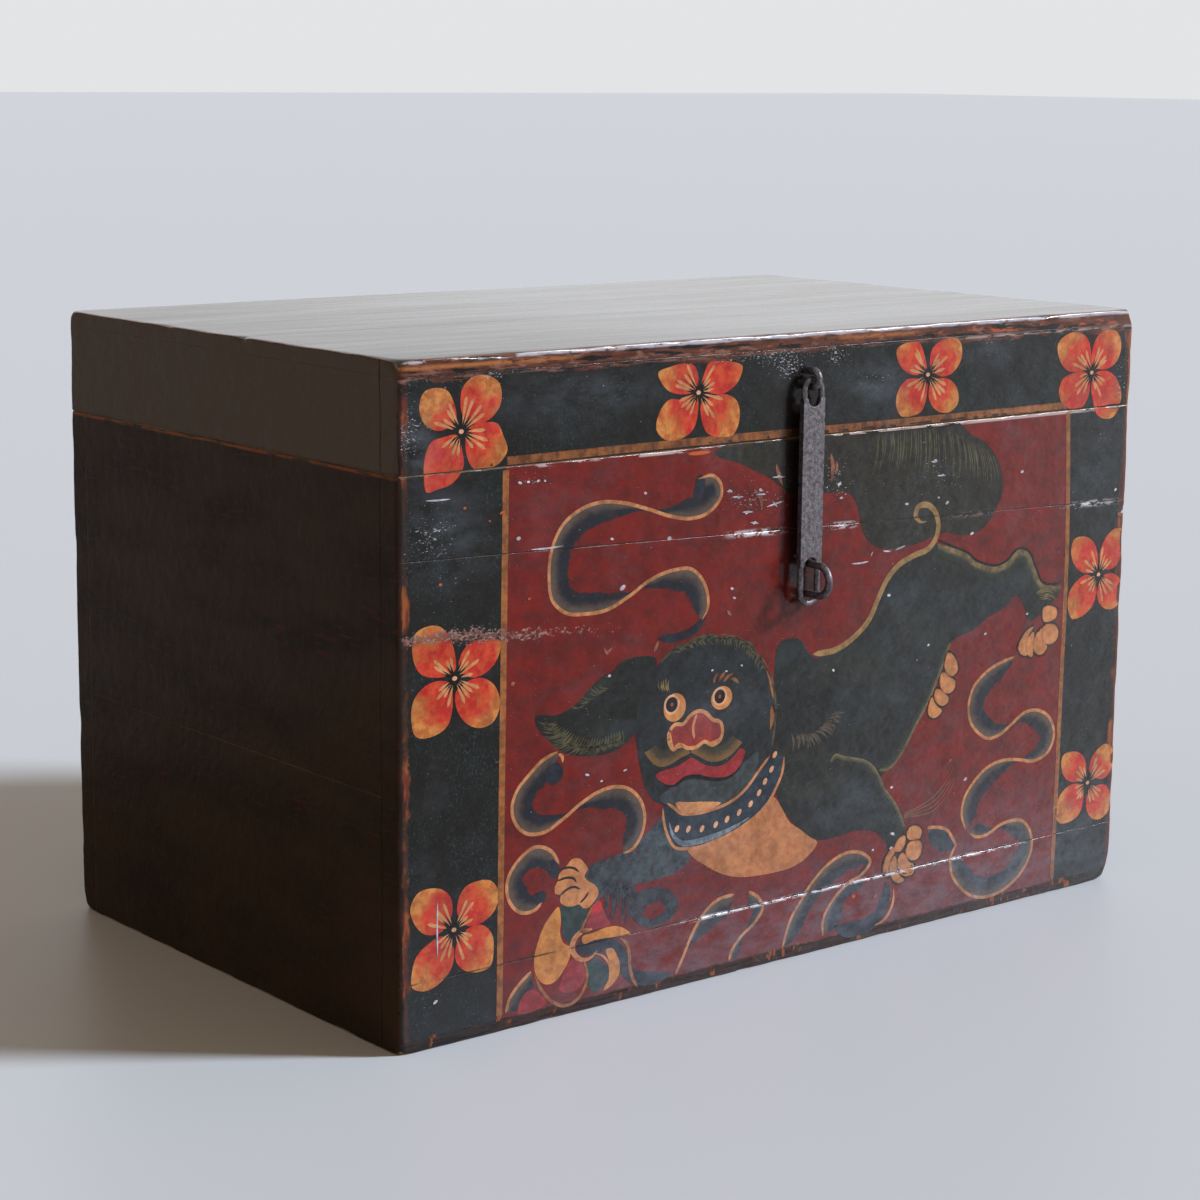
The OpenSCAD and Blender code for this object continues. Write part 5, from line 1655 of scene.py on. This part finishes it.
def paint_paws():
    """Toes of the four paws, each with a dark rim."""
    under, toes = Coat(2.5), Coat(3)
    for outline in CLAWS:
        under.ring(outline, 3.4)
        toes.area(curve(outline, closed=True))
        toes.ring(outline, 0.7)
    under.build("lion_toe_rims", "toe_line")
    toes.area(curve(LEFT_PAW, closed=True))
    toes.build("lion_toes", "flesh")
    paint_strokes("lion_toe_lines", 4, "toe_line", [(points, 1.5, 0.2, 0.2) for points in LEFT_TOES])


# Grit and short lines painted pale as glints, and chips that stand out

# Painted glints on grit: x, z and size of each grain
GRIT_GLINTS = [
    (-219, 325, 2.2), (-213, 325, 2.0), (-206, 325, 2.0), (-201, 324.6, 1.6), (-220, 293, 3.0),
    (-151, 286, 2.4), (-142.5, 256, 3.6), (-107, 282, 3.6), (-152, 204, 2.2), (-126, 311, 2.2),
    (-59, 306.5, 2.4), (-52, 302, 2.4), (-34.5, 305, 2.6), (-19.5, 312, 2.2), (-45, 292, 2.4),
    (-38.5, 285, 2.4), (-56, 246, 2.2), (-54, 240, 1.8), (78.5, 227, 2.6), (92, 285, 2.4), (31, 184, 2.2),
    (32, 303, 2.6), (34, 294, 2.4), (117, 311, 2.4), (124.5, 301, 2.2), (129, 282.5, 2.8),
    (121, 286.6, 2.2), (153, 260, 2.6), (199, 297, 2.4), (293, 277, 2.4), (301, 261, 2.6), (209, 200, 2.2),
    (116, 190, 2.2), (169, 191, 2.0), (-71, 197, 1.8), (-59.5, 195, 1.6), (-47, 197, 1.6),
    (-278.6, 28, 2.6), (88, 67.5, 2.8), (70.5, 59.5, 2.2), (87, 58, 2.2), (86, 99, 2.2), (155, 94, 3.0),
    (-168, 146, 2.4), (-139, 144.5, 2.0), (-157, 140.5, 1.6),
]
SCUFFS = [
    ([(24, 323), (26, 315), (25, 304)], 3.4), ([(29, 318), (30, 310)], 2.2), ([(-22, 320), (-19, 312),
                                                                               (-16, 306)], 3.0),
    ([(-40, 306), (-34, 300), (-33, 292)], 3.0), ([(-60, 233), (-56, 229)], 2.0), ([(-118, 214),
                                                                                    (-114, 221)], 2.6),
    ([(-150, 221), (-154, 218), (-157, 222)], 2.2), ([(-226, 208), (-222, 209)], 3.0), ([(296, 260),
                                                                                         (302, 259)], 3.0),
]
# Painted glints: short pale dashes and a scratch along the front
GRIT_GLINT_LINES = [
    [(-285, 320.4), (-277, 320), (-268, 320)], [(-211, 285.6), (-199, 285.2), (-187, 285.5)],
    [(44.5, 251), (52, 250.6), (59.5, 251)], [(61, 254), (63, 257)], [(72, 256.3), (79, 255.6)],
    [(83, 256), (92, 258)], [(-24, 297), (-20, 293)], [(-58, 302.6), (-48, 302)], [(-37, 302.5), (-30, 302)],
    [(-29, 294), (-15, 296.5)], [(-49, 292.5), (-40, 292)], [(-42, 285.5), (-35, 284.4)], [(-25, 312),
                                                                                           (-14, 311.5)],
    [(-62, 306.5), (-58, 306)], [(119, 301), (127, 300.6)], [(113, 310.6), (119, 310)],
    [(-277, 88), (-277.4, 72), (-277, 55)],
]
ORANGE_CHIPS = [
    (-258, 314, 2.2), (-232, 309, 2.2), (-240.6, 305, 2.0), (-275, 272, 2.2), (-212, 257, 2.0),
    (-224, 209, 2.0), (54, 31.4, 3.6), (74, 28, 2.8), (140, 109, 2.6), (144, 86, 2.0),
]


def paint_grit():
    """Grains of grit and short lines painted pale as glints, and chips down to the undercoat."""
    pick = random.Random(21)
    for name, places, paint in (("grit_and_glint", GRIT_GLINTS, "speck_glint"), ("chips", ORANGE_CHIPS, "chip_orange")):
        coat = Coat(7)
        for x, z, size in places:
            tilt = pick.uniform(-30, 30)
            coat.area(ellipse((x, z), size * pick.uniform(1.0, 1.5), size * pick.uniform(0.6, 0.8), tilt, 8))
        coat.build(name, paint)
    paint_strokes("grit_glint_lines", 7, "speck_glint", [(points, 1.0, 0.3, 0.3) for points in GRIT_GLINT_LINES])
    paint_strokes("scuffs", 6, "scuff", [(points, width, 0.3, 0.4) for points, width in SCUFFS])


def paint_front():
    """All paint films of the front."""
    paint_borders()
    for name, runs in RIBBONS.items():
        paint_ribbon(name, runs)
    paint_hooks()
    paint_body()
    paint_ball()
    paint_collar()
    paint_head()
    paint_eyes()
    paint_mouth()
    paint_paws()
    paint_hair()
    paint_grit()


# Ironwork

DENT_SIZES = (3.7, 1.6)


def forged(node, body, voxel, hollow):
    """Hammered iron piece in place of its CAD node: its shape softened and dented inwards."""
    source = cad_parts[node]
    mesh = source.data.copy()
    mesh.name = f"{node}_forged"
    mesh.materials.clear()
    mesh.materials.append(IRON)
    piece = bpy.data.objects.new(mesh.name, mesh)
    bpy.context.scene.collection.objects.link(piece)
    remesh = piece.modifiers.new("remesh", "REMESH")
    remesh.mode = "VOXEL"
    remesh.voxel_size = voxel * MM
    soften = piece.modifiers.new("soften", "SMOOTH")
    soften.factor = 0.5
    soften.iterations = 3
    graph = bpy.context.evaluated_depsgraph_get()
    made = bpy.data.meshes.new_from_object(piece.evaluated_get(graph))
    piece.modifiers.clear()
    piece.data = made
    made.name = mesh.name
    places, normals = np.zeros((2, len(made.vertices), 3))
    made.vertices.foreach_get("co", places.ravel())
    made.vertices.foreach_get("normal", normals.ravel())
    wide, small = (np.array([noise.noise(Vector(p) / (size * MM)) for p in places]) for size in DENT_SIZES)
    places -= normals * hollow * MM * (0.5 + 0.65 * wide + 0.35 * small)[:, None]
    made.vertices.foreach_set("co", places.ravel())
    made.polygons.foreach_set("use_smooth", [True] * len(made.polygons))
    made.update()
    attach(piece, body)
    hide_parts(node)


def make_ironwork():
    """Forged pieces, each with its remeshing grid and depth of dents, and the pins and nails."""
    forged("hasp", "hasp", 0.5, 0.22)
    forged("hasp_staple", "lid", 0.35, 0.15)
    forged("lock_staple", "carcass", 0.4, 0.2)
    for side in ("left", "right"):
        forged(f"{side}_body_leaf", "carcass", 0.45, 0.15)
        forged(f"{side}_lid_leaf", "lid", 0.45, 0.15)
    for node in ("left_hinge_pin", "right_hinge_pin", "body_hinge_nails", "lid_hinge_nails"):
        wear_node(node, IRON)


def wear_node(node, material):
    """CAD node that keeps its shape and takes a finish."""
    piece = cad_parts[node]
    piece.data.materials.clear()
    piece.data.materials.append(material)


DOWELS = ["front_dowels", "back_dowels", "side_dowels", "corner_dowels", "bottom_dowels",
          "lid_joint_dowels", "lid_top_dowels", "lid_corner_dowels"]


# Room

FLOOR_REACH = 40000.0
FLOOR_COLOUR = "#c8cdd6"
WORLD_WARM = (0.31, 0.222, 0.14, 1.0)
WORLD_SEEN = "#e3e4e6"


def make_floor():
    """Plain pale floor, with a little gloss, that reaches the horizon."""
    size = FLOOR_REACH
    s = Shader("pale_floor")
    s.bsdf.inputs["Base Color"].default_value = tint(FLOOR_COLOUR)
    s.bsdf.inputs["Roughness"].default_value = 0.42
    s.bsdf.inputs["Specular IOR Level"].default_value = 0.3
    corners = [(-size, -size, 0), (size, -size, 0), (size, size, 0), (-size, size, 0)]
    mesh = bpy.data.meshes.new("floor")
    mesh.from_pydata([Vector(c) * MM for c in corners], [], [(0, 1, 2, 3)])
    mesh.materials.append(s.material)
    floor = bpy.data.objects.new("floor", mesh)
    bpy.context.scene.collection.objects.link(floor)


def direction(azimuth, elevation):
    """Unit vector from the trunk towards a place at that azimuth, seen from the front, and elevation."""
    turn, rise = math.radians(azimuth), math.radians(elevation)
    return Vector((math.sin(turn) * math.cos(rise), -math.cos(turn) * math.cos(rise), math.sin(rise)))


def soft_sun(name, azimuth, elevation, strength, angle, colour):
    """Sun lamp whose light comes from that azimuth and elevation."""
    lamp = bpy.data.lights.new(name, "SUN")
    lamp.energy = strength
    lamp.angle = math.radians(angle)
    lamp.color = colour
    holder = bpy.data.objects.new(name, lamp)
    holder.rotation_euler = direction(azimuth, elevation).to_track_quat("Z", "Y").to_euler()
    bpy.context.scene.collection.objects.link(holder)


def make_light():
    """Cool soft light from the right, and a world that is warm and dim except to what sees it directly."""
    soft_sun("key_light", azimuth=53, elevation=31, strength=4.75, angle=9, colour=(0.85, 0.925, 1.0))
    world = bpy.data.worlds.new("studio")
    bpy.context.scene.world = world
    world.use_nodes = True
    tree = world.node_tree
    background = tree.nodes["Background"]
    path = tree.nodes.new("ShaderNodeLightPath")
    seen = path.outputs["Is Camera Ray"]
    for label in ("Is Glossy Ray", "Is Transmission Ray"):
        either = tree.nodes.new("ShaderNodeMath")
        either.operation = "MAXIMUM"
        tree.links.new(seen, either.inputs[0])
        tree.links.new(path.outputs[label], either.inputs[1])
        seen = either.outputs[0]
    colour = tree.nodes.new("ShaderNodeMix")
    colour.data_type = "RGBA"
    tree.links.new(seen, colour.inputs["Factor"])
    warm, pale = [s for s in colour.inputs if s.type == "RGBA"]
    warm.default_value = WORLD_WARM
    pale.default_value = tint(WORLD_SEEN)
    tree.links.new([s for s in colour.outputs if s.type == "RGBA"][0], background.inputs["Color"])


CAMERA_PLACE = (-1.1892, -1.4564, 0.5608)
CAMERA_AZIMUTH = -39.0
CAMERA_ELEVATION = 10.74
CAMERA_ROLL = 0.574
CAMERA_LENS = 85.08


def make_camera():
    """Camera at the photograph's place and viewing angle."""
    back = direction(CAMERA_AZIMUTH, CAMERA_ELEVATION)
    right = Vector((0, 0, 1)).cross(back).normalized()
    up = back.cross(right)
    roll = math.radians(CAMERA_ROLL)
    tilted_right = math.cos(roll) * right + math.sin(roll) * up
    tilted_up = math.cos(roll) * up - math.sin(roll) * right
    camera = bpy.data.objects.new("camera", bpy.data.cameras.new("camera"))
    camera.data.lens = CAMERA_LENS
    turn = Matrix((tilted_right, tilted_up, back)).transposed().to_4x4()
    camera.matrix_world = Matrix.Translation(CAMERA_PLACE) @ turn
    bpy.context.scene.collection.objects.link(camera)
    bpy.context.scene.camera = camera


make_camera()
make_light()
make_floor()
make_boards()
paint_front()
make_ironwork()
for dowels in DOWELS:
    wear_node(dowels, DOWEL_WOOD)

bpy.context.scene.view_settings.view_transform = "Standard"
